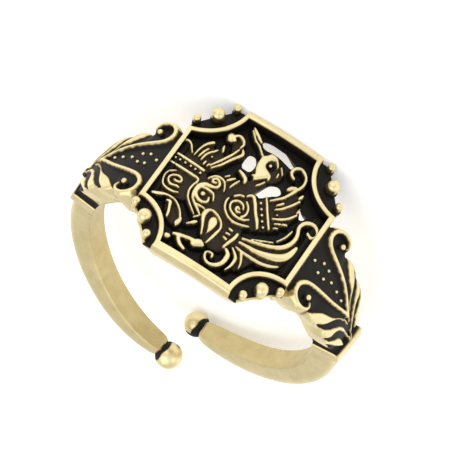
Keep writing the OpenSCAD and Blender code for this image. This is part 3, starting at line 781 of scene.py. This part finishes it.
BREAST = [
    [(-2.55, 0.4, 0.08), (-2.29, 0.76, 0.11), (-1.94, 0.88, 0.11), (-1.59, 0.77, 0.11),
     (-1.37, 0.49, 0.1), (-1.22, 0.12, 0.06)],
    [(-1.98, 0.36, 0.14), (-2.18, 0.31, 0.13), (-2.22, 0.53, 0.13), (-1.98, 0.66, 0.14),
     (-1.72, 0.44, 0.15), (-1.7, 0.16, 0.16), (-1.9, 0.0, 0.18), (-2.2, -0.05, 0.22), (-2.5, -0.13, 0.3),
     (-2.74, -0.42, 0.34), (-2.78, -0.84, 0.3), (-2.62, -1.14, 0.24), (-2.32, -1.35, 0.2),
     (-1.98, -1.4, 0.17), (-1.72, -1.21, 0.15), (-1.77, -0.9, 0.11)],
    [(-2.6, -0.42, 0.12), (-2.2, -0.36, 0.12), (-1.77, -0.43, 0.12), (-1.59, -0.6, 0.11),
     (-1.44, -0.9, 0.07)],
    [(-2.86, -0.95, 0.12), (-2.78, -1.25, 0.12), (-2.63, -1.51, 0.14), (-2.29, -1.82, 0.15),
     (-1.94, -2.08, 0.14), (-1.6, -2.36, 0.08)],
    [(-2.29, -1.77, 0.1), (-1.95, -1.74, 0.11), (-1.6, -1.77, 0.08)],
    [(-1.45, 0.96, 0.1), (-1.28, 1.16, 0.16), (-1.1, 1.36, 0.1)],
    [(-1.03, 0.64, 0.09), (-0.93, 1.0, 0.13), (-0.78, 1.38, 0.08)],
    [(-1.7, 1.12, 0.08), (-1.5, 1.36, 0.08)],
    [(-1.15, 2.08, 0.14), (-0.8, 1.94, 0.24), (-0.53, 1.74, 0.25), (-0.45, 1.5, 0.16)],
    [(-0.81, -3.51, 0.09), (-1.07, -2.9, 0.14), (-1.35, -2.32, 0.26), (-1.4, -1.95, 0.3),
     (-1.27, -1.66, 0.18), (-0.98, -1.58, 0.13), (-0.55, -1.73, 0.12), (-0.16, -2.03, 0.12),
     (0.02, -2.43, 0.12), (-0.03, -2.9, 0.17), (-0.11, -3.38, 0.16), (-0.2, -3.85, 0.1)],
    [(-0.9, -4.25, 0.3), (-1.2, -4.24, 0.24), (-1.6, -4.32, 0.22), (-1.94, -4.4, 0.24),
     (-2.29, -4.52, 0.18)],
    [(-1.98, -4.46, 0.2), (-1.8, -4.75, 0.25), (-1.55, -4.98, 0.25), (-1.2, -5.14, 0.2)],
    [(-5.08, -2.5, 0.18), (-4.8, -2.42, 0.25), (-4.5, -2.3, 0.22), (-4.11, -2.2, 0.11),
     (-3.59, -2.25, 0.1), (-3.16, -2.51, 0.1), (-2.81, -2.86, 0.1), (-2.6, -3.2, 0.12)],
    [(-3.94, -2.56, 0.12), (-3.72, -2.55, 0.2), (-3.57, -2.9, 0.17), (-3.42, -3.3, 0.16),
     (-3.35, -3.65, 0.12)],
    [(-1.5, -2.9, 0.08), (-1.62, -3.0, 0.22), (-1.78, -3.18, 0.16), (-1.98, -3.38, 0.08)],
    [(-1.66, -2.48, 0.1), (-1.85, -2.7, 0.08)]]

SECOND_WING = [
    [(2.05, 3.8, 0.14), (1.82, 3.92, 0.19), (1.7, 4.15, 0.22), (1.76, 4.49, 0.21), (2.05, 4.72, 0.2),
     (2.4, 4.64, 0.2), (2.72, 4.36, 0.19), (2.84, 3.92, 0.18), (2.78, 3.53, 0.19), (2.59, 3.05, 0.19),
     (2.44, 2.62, 0.18), (2.22, 2.14, 0.16), (1.92, 1.75, 0.13), (1.63, 1.4, 0.08)],
    [(2.52, 3.3, 0.14), (2.3, 3.12, 0.24), (2.18, 2.88, 0.22)],
    [(3.2, 3.12, 0.1), (3.16, 2.95, 0.2), (3.1, 2.78, 0.12)],
    [(3.22, 2.6, 0.13), (3.05, 2.23, 0.14), (2.83, 1.83, 0.13), (2.53, 1.36, 0.12), (2.22, 1.05, 0.08)],
    [(2.44, 1.78, 0.12), (2.3, 1.58, 0.12), (2.16, 1.38, 0.08)],
    [(3.58, 2.2, 0.12), (3.56, 2.0, 0.15), (3.52, 1.8, 0.1)],
    [(3.57, 1.62, 0.12), (3.31, 1.14, 0.14), (3.05, 0.83, 0.14), (2.74, 0.57, 0.12), (2.42, 0.36, 0.07)],
    [(3.2, 0.47, 0.12), (3.4, 0.56, 0.12)],
    [(3.05, 0.36, 0.09), (2.88, 0.24, 0.11), (2.72, 0.13, 0.07)],
    [(3.05, -0.03, 0.07), (2.83, -0.17, 0.07)],
    [(0.25, 0.76, 0.13), (0.42, 0.92, 0.16), (0.6, 0.95, 0.2), (0.78, 0.76, 0.22), (0.98, 0.5, 0.22),
     (1.18, 0.18, 0.2), (1.4, -0.12, 0.2), (1.66, -0.42, 0.22), (1.96, -0.9, 0.13)],
    [(1.3, 1.44, 0.1), (1.57, 1.05, 0.14), (1.8, 0.7, 0.15), (2.05, 0.33, 0.15), (2.31, -0.03, 0.15),
     (2.6, -0.44, 0.12)],
    [(0.05, 0.57, 0.1), (-0.2, 0.49, 0.11), (-0.46, 0.23, 0.11)],
    [(-0.7, -0.12, 0.08), (-0.72, -0.43, 0.12), (-0.55, -0.9, 0.12), (-0.2, -1.25, 0.12),
     (0.13, -1.43, 0.12), (0.57, -1.47, 0.13), (1.0, -1.36, 0.13), (1.44, -1.17, 0.11)],
    [(0.3, -0.44, 0.1), (0.12, -0.36, 0.14), (0.1, -0.56, 0.14), (0.25, -0.68, 0.13), (0.45, -0.63, 0.1)],
    [(0.5, -0.28, 0.09), (0.37, -0.04, 0.12), (0.07, 0.08, 0.13), (-0.21, -0.03, 0.13),
     (-0.38, -0.3, 0.13), (-0.3, -0.64, 0.13), (-0.04, -0.9, 0.13), (0.44, -1.04, 0.13),
     (0.9, -0.96, 0.12), (1.2, -0.72, 0.08)],
    [(0.42, 0.33, 0.09), (0.7, 0.05, 0.12), (0.85, -0.3, 0.12), (0.83, -0.64, 0.12), (0.68, -0.86, 0.12)],
    [(-2.0, 5.5, 0.1), (-1.7, 5.28, 0.2), (-1.42, 5.05, 0.22), (-1.08, 4.8, 0.13)],
    [(-2.0, 5.27, 0.08), (-1.59, 4.83, 0.12), (-1.37, 4.64, 0.12), (-1.03, 4.46, 0.12),
     (-0.81, 4.24, 0.12), (-0.56, 4.02, 0.12)],
    [(0.5, 4.22, 0.1), (0.63, 4.05, 0.13), (0.76, 3.85, 0.08)],
    [(0.98, 3.94, 0.07), (1.15, 3.72, 0.09), (1.3, 3.52, 0.07)],
    [(1.05, 3.42, 0.08), (1.1, 3.18, 0.07)],
    [(0.62, 2.32, 0.08), (0.5, 2.06, 0.1), (0.3, 1.78, 0.07)]]

TAIL = [
    [(1.16, -2.1, 0.16), (1.13, -2.47, 0.2), (0.98, -2.99, 0.19), (0.87, -3.45, 0.14)],
    [(0.5, -2.07, 0.1), (0.74, -2.09, 0.1)],
    [(0.5, -2.46, 0.1), (0.74, -2.44, 0.1)],
    [(0.5, -2.82, 0.1), (0.74, -2.86, 0.1)],
    [(3.94, 0.45, 0.07), (3.87, 0.05, 0.1), (3.74, -0.38, 0.1), (3.5, -0.85, 0.06)],
    [(3.35, -1.08, 0.06), (2.83, -1.4, 0.08), (2.1, -1.83, 0.06)],
    [(1.58, -2.14, 0.11), (2.13, -1.97, 0.15), (2.74, -1.73, 0.19), (3.27, -1.47, 0.22),
     (3.7, -1.21, 0.25), (4.05, -0.86, 0.28), (4.31, -0.38, 0.28), (4.4, 0.1, 0.27), (4.35, 0.5, 0.25),
     (4.18, 0.97, 0.24), (4.22, 1.36, 0.25), (4.44, 1.68, 0.26), (4.79, 1.84, 0.26), (5.13, 1.77, 0.25),
     (5.38, 1.49, 0.23), (5.4, 1.18, 0.23), (5.22, 0.94, 0.22), (4.96, 0.97, 0.19), (4.83, 1.05, 0.12)],
    [(1.55, -2.5, 0.12), (2.13, -2.43, 0.2), (2.74, -2.36, 0.3), (3.4, -2.15, 0.42), (4.05, -1.82, 0.52),
     (4.46, -1.45, 0.5), (4.68, -1.03, 0.42), (4.76, -0.64, 0.34), (4.79, -0.36, 0.2)],
    [(1.55, -2.95, 0.09), (2.13, -2.99, 0.14), (2.74, -2.97, 0.2), (3.31, -2.93, 0.24),
     (3.83, -2.77, 0.22), (4.27, -2.51, 0.15), (4.5, -2.32, 0.07)],
    [(1.13, -3.51, 0.2), (1.38, -3.72, 0.28), (1.44, -4.03, 0.3), (1.4, -4.47, 0.28), (1.2, -4.82, 0.27),
     (0.87, -5.05, 0.25), (0.53, -5.06, 0.2), (0.27, -4.86, 0.16), (0.14, -4.52, 0.12),
     (0.33, -4.34, 0.12), (0.57, -4.36, 0.14), (0.62, -4.54, 0.15)],
    [(1.4, -3.15, 0.09), (1.7, -3.38, 0.16), (1.93, -3.64, 0.2), (1.98, -3.98, 0.18), (1.95, -4.38, 0.14),
     (1.82, -4.78, 0.08)],
    [(2.02, -3.06, 0.18), (2.25, -3.43, 0.15), (2.4, -3.77, 0.12), (2.47, -4.15, 0.07)]]

# beads of the wing bands, the breast, the eye and the feathers: place and radius
BEAD_ROWS = [
    (-5.18, 0.66, 0.085), (-4.84, 0.65, 0.085), (-4.43, 0.62, 0.09), (-4.0, 0.57, 0.085),
    (-3.63, 0.52, 0.085), (-3.21, 0.44, 0.09), (1.22, 0.83, 0.09), (1.48, 0.47, 0.09),
    (1.72, 0.12, 0.095), (1.97, -0.26, 0.09), (2.24, -0.6, 0.09), (-2.25, -0.82, 0.17),
    (0.32, 3.62, 0.11), (-3.2, 1.94, 0.07), (2.53, 0.77, 0.06)]

# openings that are cut through the ground
OPENINGS = [
    [(-1.17, 3.87), (-0.84, 3.86), (-0.58, 3.52), (-0.5, 3.1), (-0.55, 2.84), (-0.78, 2.69), (-1.0, 2.7),
     (-1.22, 2.72), (-1.38, 3.05), (-1.39, 3.44), (-1.33, 3.75)],
    [(-1.12, 5.12), (-0.95, 5.33), (-0.47, 5.42), (0.22, 5.41), (0.69, 5.38), (1.33, 5.14), (1.62, 5.02),
     (1.5, 4.64), (1.08, 4.7), (0.42, 4.85), (-0.13, 4.86), (-0.55, 4.82), (-0.85, 4.9)],
    [(0.26, 1.22), (0.48, 1.76), (0.7, 2.2), (0.95, 2.63), (1.34, 2.86), (1.67, 2.84), (1.87, 2.62),
     (1.76, 2.31), (1.51, 2.1), (1.23, 1.8), (0.95, 1.5), (0.6, 1.3)],
    [(3.52, 2.44), (3.78, 2.34), (4.1, 2.26), (4.06, 2.02), (3.86, 1.84), (3.62, 1.93), (3.54, 2.14)]]


def pierce(piece):
    """Cuts the openings through a piece of the plate."""
    above, below = 12.0, 7.0
    for k, outline in enumerate(OPENINGS):
        loop = smooth(outline, 6, closed=True)
        bpy.ops.mesh.primitive_circle_add(vertices=len(loop), radius=1, fill_type="NGON")
        cutter = added(f"cutter_{k}")
        floor_z = float(top_z(loop[:, 0].mean())) - FIELD - 0.03
        set_points(cutter, np.column_stack((loop, np.full(len(loop), above))))
        select_whole(cutter)
        draw_out(0, 0, floor_z - above)
        draw_out(0, 0, below - floor_z)
        leave_edit()
        # below the floor each opening widens towards the far end
        co = points(cutter)
        low = co[:, 2] < below + 0.5
        wide = (co[:, 1] - loop[:, 1].min()) / np.ptp(loop[:, 1]) * low * (floor_z - below)
        set_points(cutter, co + np.outer(wide, (-0.11, 0.6, 0)))
        finish_mesh(cutter)
        pick(piece)
        cut = piece.modifiers.new("opening", "BOOLEAN")
        cut.operation, cut.solver, cut.object = "DIFFERENCE", "MANIFOLD", cutter
        bpy.ops.object.modifier_apply(modifier=cut.name)
        bpy.data.objects.remove(cutter)


def relief_panel():
    """The field inside the rim: a fine sheet raised into the beast, made a block and cut through."""
    nu, nv = 300, 276
    inset = RIM_W - 0.14
    piece, i, j = sheet("beast_panel", nu, nv)
    reach = HALF_W - inset
    x = reach * (2 * i / nu - 1)
    share = 2 * j / nv - 1
    y = share * row_length(*row_lengths(x, share, inset), share)
    r = Relief(x, y, np.full(len(x), -FIELD), edge=0.085)
    for outline in BODY:
        r.patch(outline, BODY_H, WING, slope=2.6, round_w=0.5)
    # the eye lies in a hollow of the head
    r.hollow(0.34, 3.62, 0.31, -0.72)
    for outline in POLISHED:
        r.patch(outline, LINE_H, BARE, slope=STEEP, round_w=0.22)
    r.hollow(0.33, 3.62, 0.24, -0.66)
    for group in (FIRST_WING, BREAST, SECOND_WING, TAIL):
        for knots in group:
            r.line(knots, LINE_H)
    # soften the corners of the casting a little
    heights = np.zeros((nu + 1, nv + 1))
    shine = np.zeros((nu + 1, nv + 1))
    heights[i, j], shine[i, j] = r.height, r.polish
    soften(heights, 1)
    set_points(piece, np.stack((x, y, top_z(x) + heights[i, j]), 1))

    # a wall is drawn down round the sheet and closed underneath, along the finger hole
    size = len(piece.data.vertices)
    select_open_edges(piece)
    draw_out(0, 0, -1)
    leave_edit()
    co = points(piece)
    limit = half_length(co[:, 0], co[:, 1], inset)
    spare = (np.abs(np.abs(co[:, 0]) - reach) < 1e-6) & (np.abs(co[:, 1]) < limit - 1e-6)
    spare[:size] = False
    # it leans in with the plate's walls
    co[size:, :2] *= (0.9, 0.86)
    co[size:, 2] = np.sqrt((FINGER_R + 0.02) ** 2 - co[size:, 0] ** 2)
    set_points(piece, co)
    # its lower points on the left and right are taken out, and from the near to the far side it is
    # bridged, column by column
    select(piece, "vertices", spare)
    bpy.ops.mesh.dissolve_verts(use_face_split=False)
    leave_edit()
    across = points(piece)[:, 0]
    ends = [min(e.vertices) >= size and abs(across[e.vertices[0]] - across[e.vertices[1]]) > 1e-6
            for e in piece.data.edges]
    select(piece, "edges", ends)
    bpy.ops.mesh.bridge_edge_loops()
    leave_edit()
    finish_mesh(piece)

    pierce(piece)

    # after the cutting, each point finds its height and polish on the sheet again
    co = points(piece)
    gu = np.clip((co[:, 0] / reach + 1) / 2 * nu, 0, nu - 1e-6)
    edge, calm = row_lengths(co[:, 0], co[:, 1], inset)
    share = co[:, 1] / edge
    for _ in range(30):
        share = np.clip(co[:, 1] / row_length(edge, calm, share), -1, 1)
    gv = np.clip((share + 1) / 2 * nv, 0, nv - 1e-6)
    a, b = gu.astype(int), gv.astype(int)
    fu, fv = gu - a, gv - b

    def on_sheet(grid):
        """Value at each point, between the four grid points round it."""
        return ((grid[a, b] * (1 - fu) + grid[a + 1, b] * fu) * (1 - fv)
                + (grid[a, b + 1] * (1 - fu) + grid[a + 1, b + 1] * fu) * fv)

    sunk = top_z(co[:, 0]) + on_sheet(heights) - co[:, 2]
    polish = on_sheet(shine) * (1 - blend_in(0.02, 0.08, sunk))
    # points on the finger hole that lie below the sheet are given painted shade
    hole_side = np.abs(np.hypot(co[:, 0], co[:, 2]) - FINGER_R) < 0.06
    set_polish(piece, np.where(hole_side & (sunk > 0.2), INSIDE_SHADE, polish))
    lay_down(piece, 80)
    for k, (bx, by, br) in enumerate(BEAD_ROWS):
        at = (bx, by, top_z(bx) + LINE_H - br * 0.9)
        lay_down(bead(f"small_bead_{k}", at, br, 0.35))


# shoulders

ARC_MM = 10.9 * math.pi / 180        # millimetres for one degree round the hoop

# angle, half width at the top edge, half width at the finger hole
SHOULDER = [
    (27, 2.64, 2.85), (31, 2.7, 2.9), (32.6, 2.8, 2.93), (33.8, 3.0, 2.95), (35, 3.19, 2.95),
    (36.9, 3.31, 2.95), (38.8, 3.4, 2.93), (40.8, 3.4, 2.9), (42.1, 3.26, 2.86), (43.1, 3.0, 2.82),
    (43.7, 2.66, 2.78), (44.4, 2.48, 2.72), (45.6, 2.46, 2.62), (47, 2.54, 2.5), (48.8, 2.65, 2.3),
    (50.7, 2.72, 2.13), (52.6, 2.7, 2.06), (54.2, 2.6, 2.0), (55.8, 2.4, 1.98), (57.2, 2.33, 1.97),
    (58.8, 2.42, 1.96), (60.6, 2.49, 1.94), (62.6, 2.45, 1.9), (64.4, 2.33, 1.86), (65.8, 2.15, 1.8),
    (67.4, 2.1, 1.74), (69, 2.03, 1.67), (70.8, 1.86, 1.58), (72.2, 1.66, 1.5), (73.4, 1.44, 1.42),
    (74.6, 1.34, 1.34), (77.8, 1.3, 1.3), (78.2, 1.4, 1.38), (78.6, 1.46, 1.44), (82.5, 1.44, 1.42),
    (82.9, 1.41, 1.4), (83.2, 1.34, 1.34)]

# polished ridge from the point of the V into its scroll: angle, distance from the middle, width
RIDGE = [
    (61.8, 0.0, 0.22), (59.5, 0.14, 0.2), (56, 0.42, 0.2), (51, 0.8, 0.21), (46, 1.07, 0.22),
    (41, 1.3, 0.24), (38, 1.47, 0.25), (36, 1.68, 0.27), (34.7, 1.97, 0.29), (34.2, 2.32, 0.29),
    (34.8, 2.76, 0.28), (36.6, 3.08, 0.26), (38.8, 3.2, 0.25), (41, 3.12, 0.22), (42.5, 2.9, 0.17),
    (42.9, 2.64, 0.12), (42.2, 2.46, 0.08)]

# polished leaves of one side: outline of angle and distance from the middle
LEAVES = [
    [(43.6, 3.2), (46.3, 2.62), (48.1, 2.29), (49.7, 1.97), (51.7, 1.69), (54.4, 1.43), (56.5, 1.19),
     (58.5, 0.83), (60.3, 0.53), (62.4, 0.37), (61.8, 0.49), (59.8, 0.7), (58.2, 1.04), (57.0, 1.43),
     (55.9, 1.85), (54.3, 2.23), (52.5, 2.53), (51.8, 3.2)],
    [(51.8, 3.2), (52.4, 2.6), (54.1, 2.51), (55.8, 2.35), (57.8, 2.1), (59.6, 1.75), (60.9, 1.4),
     (62.6, 0.97), (65.0, 0.6), (68.1, 0.42), (70.9, 0.24), (73.3, 0.14), (72.6, 0.28), (69.4, 0.46),
     (66.5, 0.71), (64.4, 0.97), (63.2, 1.24), (62.7, 1.58), (62.7, 1.87), (61.8, 2.16), (60.6, 2.45),
     (59.6, 3.25)],
    [(59.6, 3.25), (60.6, 2.54), (62.3, 2.31), (64.0, 2.13), (65.8, 1.77), (67.2, 1.37), (68.5, 1.09),
     (70.8, 0.92), (74.5, 0.78), (72.8, 1.11), (70.3, 1.49), (68.0, 1.81), (65.2, 2.21), (63.6, 2.7),
     (62.5, 3.3)]]
# short polished veins between the leaves
VEINS = [
    [(62.4, 0.3, 0.07), (64.0, 0.2, 0.08), (66.0, 0.12, 0.05)],
    [(73.4, 0.14, 0.08), (76.2, 0.06, 0.06)]]
# angle and distance from the middle
GRANULES = [
    (34.3, 0.0), (38.1, 0.42), (38.1, -0.42), (41.5, 0.37), (41.5, -0.37), (45.3, 0.0), (49.8, 0.0),
    (54.2, 0.0)]
GRANULE_R = 0.12
SCROLL_BEAD = (40.1, 2.31, 0.2)      # angle, distance from the middle, radius


def ground_height(phi, y):
    """Dark ground of the shoulder, as distance from the finger axis."""
    field = GROUND_R - 0.02 * y * y
    leafy = LEAFY_R - 0.05 * y * y - leaf_fall(phi)
    r = field + (leafy - field) * blend_in(43, 47, phi) * blend_in(0.0, 0.35, np.abs(y) - ridge_line(phi))
    r = np.where(phi > 61, leafy, r)
    band = blend_in(71, 75.5, phi + 0.9 * np.abs(y))
    return r + (BAND_R - 0.05 * y * y - r) * band


def leaf_fall(phi):
    """The leaves sink towards the end of the shoulder."""
    return 0.012 * np.maximum(phi - 62, 0)


def ridge_line(phi):
    """Distance of the ridge from the middle, along an arm of the V."""
    return table(RIDGE[6::-1], phi, 1)


def shoulder(name, side, lip_r, lip_slant):
    """A sheet rolled round the hoop: the finger hole, both side walls and the decorated top."""
    start, stop = 27.0, LIP[3]
    along, top_n, wall_n, hole_n = 350, 236, 14, 8
    around = top_n + 2 * wall_n + hole_n
    piece, i, j = sheet(name, along, around)
    phi = start + (stop - start) * i / along
    wide, narrow = table(SHOULDER, phi, 1), table(SHOULDER, phi, 2)
    # near the edges the points of the top lie closer
    t = 2 * np.clip(j, 0, top_n) / top_n - 1
    across = np.sin(t) / math.sin(1)
    y_top = wide * across
    arc = phi * ARC_MM
    r = Relief(arc, y_top, ground_height(phi, y_top), edge=0.13)
    for s in (-1, 1):
        for outline in LEAVES:
            lift(r, [(p * ARC_MM, s * q) for p, q in outline], phi, y_top)
        for knots in VEINS:
            r.line([(p * ARC_MM, s * q, w) for p, q, w in knots], VEIN_R, slope=3)
    for s in (-1, 1):
        r.line([(p * ARC_MM, s * q, w) for p, q, w in RIDGE], RIDGE_R, slope=2.4)
    # lip across the end of the shoulder, polished from the middle of its rise
    lip = blend_in(LIP[0], LIP[1], phi) * (1 - blend_in(LIP[2], LIP[3], phi))
    r.height = r.height + (lip_r + lip_slant * y_top - 0.02 * y_top ** 2 - r.height) * lip
    shine = np.where(phi > 77.9, blend_in(78.25, 78.45, phi) * 0.95, r.polish)
    # outside its ridge the scroll is bare down to the wall
    outer = blend_in(0.9, 0.94, np.abs(across))
    outer = outer * blend_in(33.0, 34.2, phi) * (1 - blend_in(42.5, 43.5, phi))
    shine = np.maximum(shine, 0.95 * outer)
    # soften the relief of the top
    top = j <= top_n
    flat_i, flat_j = i[top], j[top]
    grid = np.zeros((2, along + 1, top_n + 1))
    grid[0, flat_i, flat_j], grid[1, flat_i, flat_j] = r.height[top], shine[top]
    soften(grid[0], 3)
    soften(grid[1], 1)
    height = np.where(top, grid[0, i, np.minimum(j, top_n)], r.height)
    shine = np.where(top, grid[1, i, np.minimum(j, top_n)], shine)
    # rounded edge between the top and the walls
    rounding = 0.13
    past = np.clip((np.abs(across) - 0.9) / 0.1, 0, 1)
    top_r = height - rounding * (1 - np.sqrt(np.maximum(1 - past ** 2, 0)))

    # height of the top edge at each angle, for the walls under it
    edge = {}
    for s, col in ((1, top_n), (-1, 0)):
        at = j == col
        order = np.argsort(i[at])
        edge[s] = top_r[at][order]
    co_y, co_r, polish = y_top.copy(), top_r.copy(), shine.copy()
    k = j - top_n
    right = (j > top_n) & (k <= wall_n)
    under = (k > wall_n) & (k < wall_n + hole_n)
    left = k >= wall_n + hole_n
    for mask, s, w in ((right, 1, k / wall_n), (left, -1, 1 - (k - wall_n - hole_n) / wall_n)):
        w = np.clip(w, 0, 1)
        h = edge[s][i]
        bow = w - 0.12 * np.sin(np.pi * w)
        co_r = np.where(mask, h + (FINGER_R - h) * w, co_r)
        co_y = np.where(mask, s * (wide + (narrow - wide) * bow), co_y)
        polish = np.where(mask, WALL, polish)
    w = (k - wall_n) / hole_n
    co_r = np.where(under, FINGER_R, co_r)
    co_y = np.where(under, narrow * (1 - 2 * w), co_y)
    # the face on the finger hole is given painted shade
    polish = np.where(under, INSIDE_SHADE, polish)
    # the crease behind the scroll is darkened, and the darkening slants with the share of the way down the
    # wall
    wall_h = 2.3
    down = (height.max() - co_r) / wall_h
    crease = np.exp(-((phi - 44.3 - 6 * down) / 0.5) ** 2)
    polish = np.where(right | left, polish - 0.5 * crease * blend_in(9.0, 10.2, co_r), polish)
    # the black band before the lip runs round on to the walls
    band = blend_in(73.0 + 0.5 * down, 73.8 + 0.5 * down, phi) * (1 - blend_in(78.0, 78.35, phi))
    polish = np.where(right | left, polish - 0.95 * band, polish)
    # the end of the shoulder follows its sprung hoop a little
    co_y = co_y + 0.1 * (RIGHT_SPRING if side > 0 else LEFT_SPRING) * blend_in(69, 79, phi)
    set_points(piece, polar(side * phi, co_r, co_y))
    set_polish(piece, polish)
    finish_mesh(piece)
    close_ends(piece)
    finish_mesh(piece)
    lay_down(piece, 80)
    for n, (p, q) in enumerate(GRANULES):
        stud(f"{name}_granule_{n}", side * p, q, GROUND_R + 0.04, GRANULE_R)
    p, q, radius = SCROLL_BEAD
    for n, s in enumerate((-1, 1)):
        stud(f"{name}_scroll_bead_{n}", side * p, s * q, GROUND_R + 0.2, radius)


def lift(r, loop, phi, y):
    """Raises a leaf over the ground, highest along its middle."""
    loop = smooth(loop, 4, closed=True)
    at = r.near(loop.min(0), loop.max(0), 0.4)
    outside = outside_of(loop, r.u[at], r.v[at])
    leaf = LEAF_R - 0.05 * y[at] ** 2 - leaf_fall(phi[at])
    rounding = 0.07 * np.clip(1 + outside / 0.18, 0, 1) ** 2
    r.raise_to(at, leaf - rounding - 2.6 * np.maximum(outside, 0), outside, BARE)


def stud(name, phi, y, r, radius):
    """A bead that stands on a shoulder."""
    piece = bead(name, (0, 0, 0), radius, radius * 1.2)
    turn = Matrix.Rotation(math.radians(phi), 4, "Y")
    piece.data.transform(Matrix.Translation(Vector(polar(phi, r, y))) @ turn)
    lay_down(piece)


# studio

def camera():
    """The photograph's view, turned with the ring from upright to lying."""
    focal, photo_w = 3699.64, 450    # in pixels
    # the camera's axes, and the middle of the upright ring as the camera sees it, in millimetres
    right = Vector((0.84076535, 0.50449706, 0.19645953))
    up = Vector((-0.53234806, 0.70428168, 0.46967314))
    back = Vector((0.09858587, -0.49946975, 0.86070366))
    centre = Vector((-1.089, -3.270, -250.0))
    stand = -(right * centre.x + up * centre.y + back * centre.z) * 0.001
    turn = Matrix((right, up, back)).transposed().to_4x4()
    bpy.ops.object.camera_add()
    cam = bpy.context.object
    cam.name = "camera"
    cam.data.sensor_width = 36
    cam.data.lens = focal / photo_w * 36
    cam.data.clip_start, cam.data.clip_end = 0.01, 20
    cam.matrix_world = LAY @ Matrix.Translation(stand) @ turn
    bpy.context.scene.camera = cam


def floor():
    """White paper that glows a little, as on a light table."""
    bpy.ops.mesh.primitive_plane_add(size=6)
    sweep = added("studio_floor")
    paper = bpy.data.materials.new("white_paper")
    paper.use_nodes = True
    surface = paper.node_tree.nodes["Principled BSDF"].inputs
    surface["Base Color"].default_value = (0.95, 0.95, 0.945, 1)
    surface["Roughness"].default_value = 0.9
    # the glow is painted light: it lifts the shadows on the floor and lights the ring a little from below
    surface["Emission Color"].default_value = (1, 1, 1, 1)
    surface["Emission Strength"].default_value = 0.22
    sweep.data.materials.append(paper)


def softbox(name, place, aim, size, power):
    """A flat white lamp, turned to its aim."""
    bpy.ops.object.light_add(type="AREA", location=place)
    lamp = bpy.context.object
    lamp.name = name
    lamp.data.shape = "RECTANGLE"
    lamp.data.size, lamp.data.size_y = size
    lamp.data.energy = power
    lamp.rotation_euler = (Vector(aim) - Vector(place)).to_track_quat("-Z", "Y").to_euler()


def studio():
    """A pale tent with three softboxes."""
    world = bpy.data.worlds.new("pale_tent")
    bpy.context.scene.world = world
    world.use_nodes = True
    sky = world.node_tree.nodes["Background"]
    sky.inputs["Color"].default_value = (1, 1, 1, 1)
    sky.inputs["Strength"].default_value = 0.88
    softbox("top_box", (0.05, 0.05, 0.5), (0, 0, 0), (0.5, 0.5), 0.75)
    softbox("left_box", (-0.5, -0.15, 0.28), (0, 0, 0.01), (0.4, 0.3), 0.3)
    softbox("front_box", (0.25, -0.5, 0.2), (0, 0, 0.01), (0.35, 0.25), 0.3)
    bpy.context.scene.view_settings.view_transform = "Standard"
    bpy.context.scene.view_settings.look = "None"


# putting it together

camera()
floor()
studio()

hoop_half("hoop_left", -1, LEFT_SPRING, LEFT_BALL)
hoop_half("hoop_right", 1, RIGHT_SPRING, RIGHT_BALL)
ball_end("ball_left", -1, LEFT_SPRING, (0.0, -1.86, -BALL_SEAT), 0.98, LEFT_BALL)
ball_end("ball_right", 1, RIGHT_SPRING, (0.33, 1.40, -BALL_SEAT), 0.91, RIGHT_BALL, (0.03, -0.86, -0.5))
plate_frame()
corner_beads()
relief_panel()
shoulder("shoulder_left", -1, 10.68, 0.02)
shoulder("shoulder_right", 1, 10.94, 0.09)
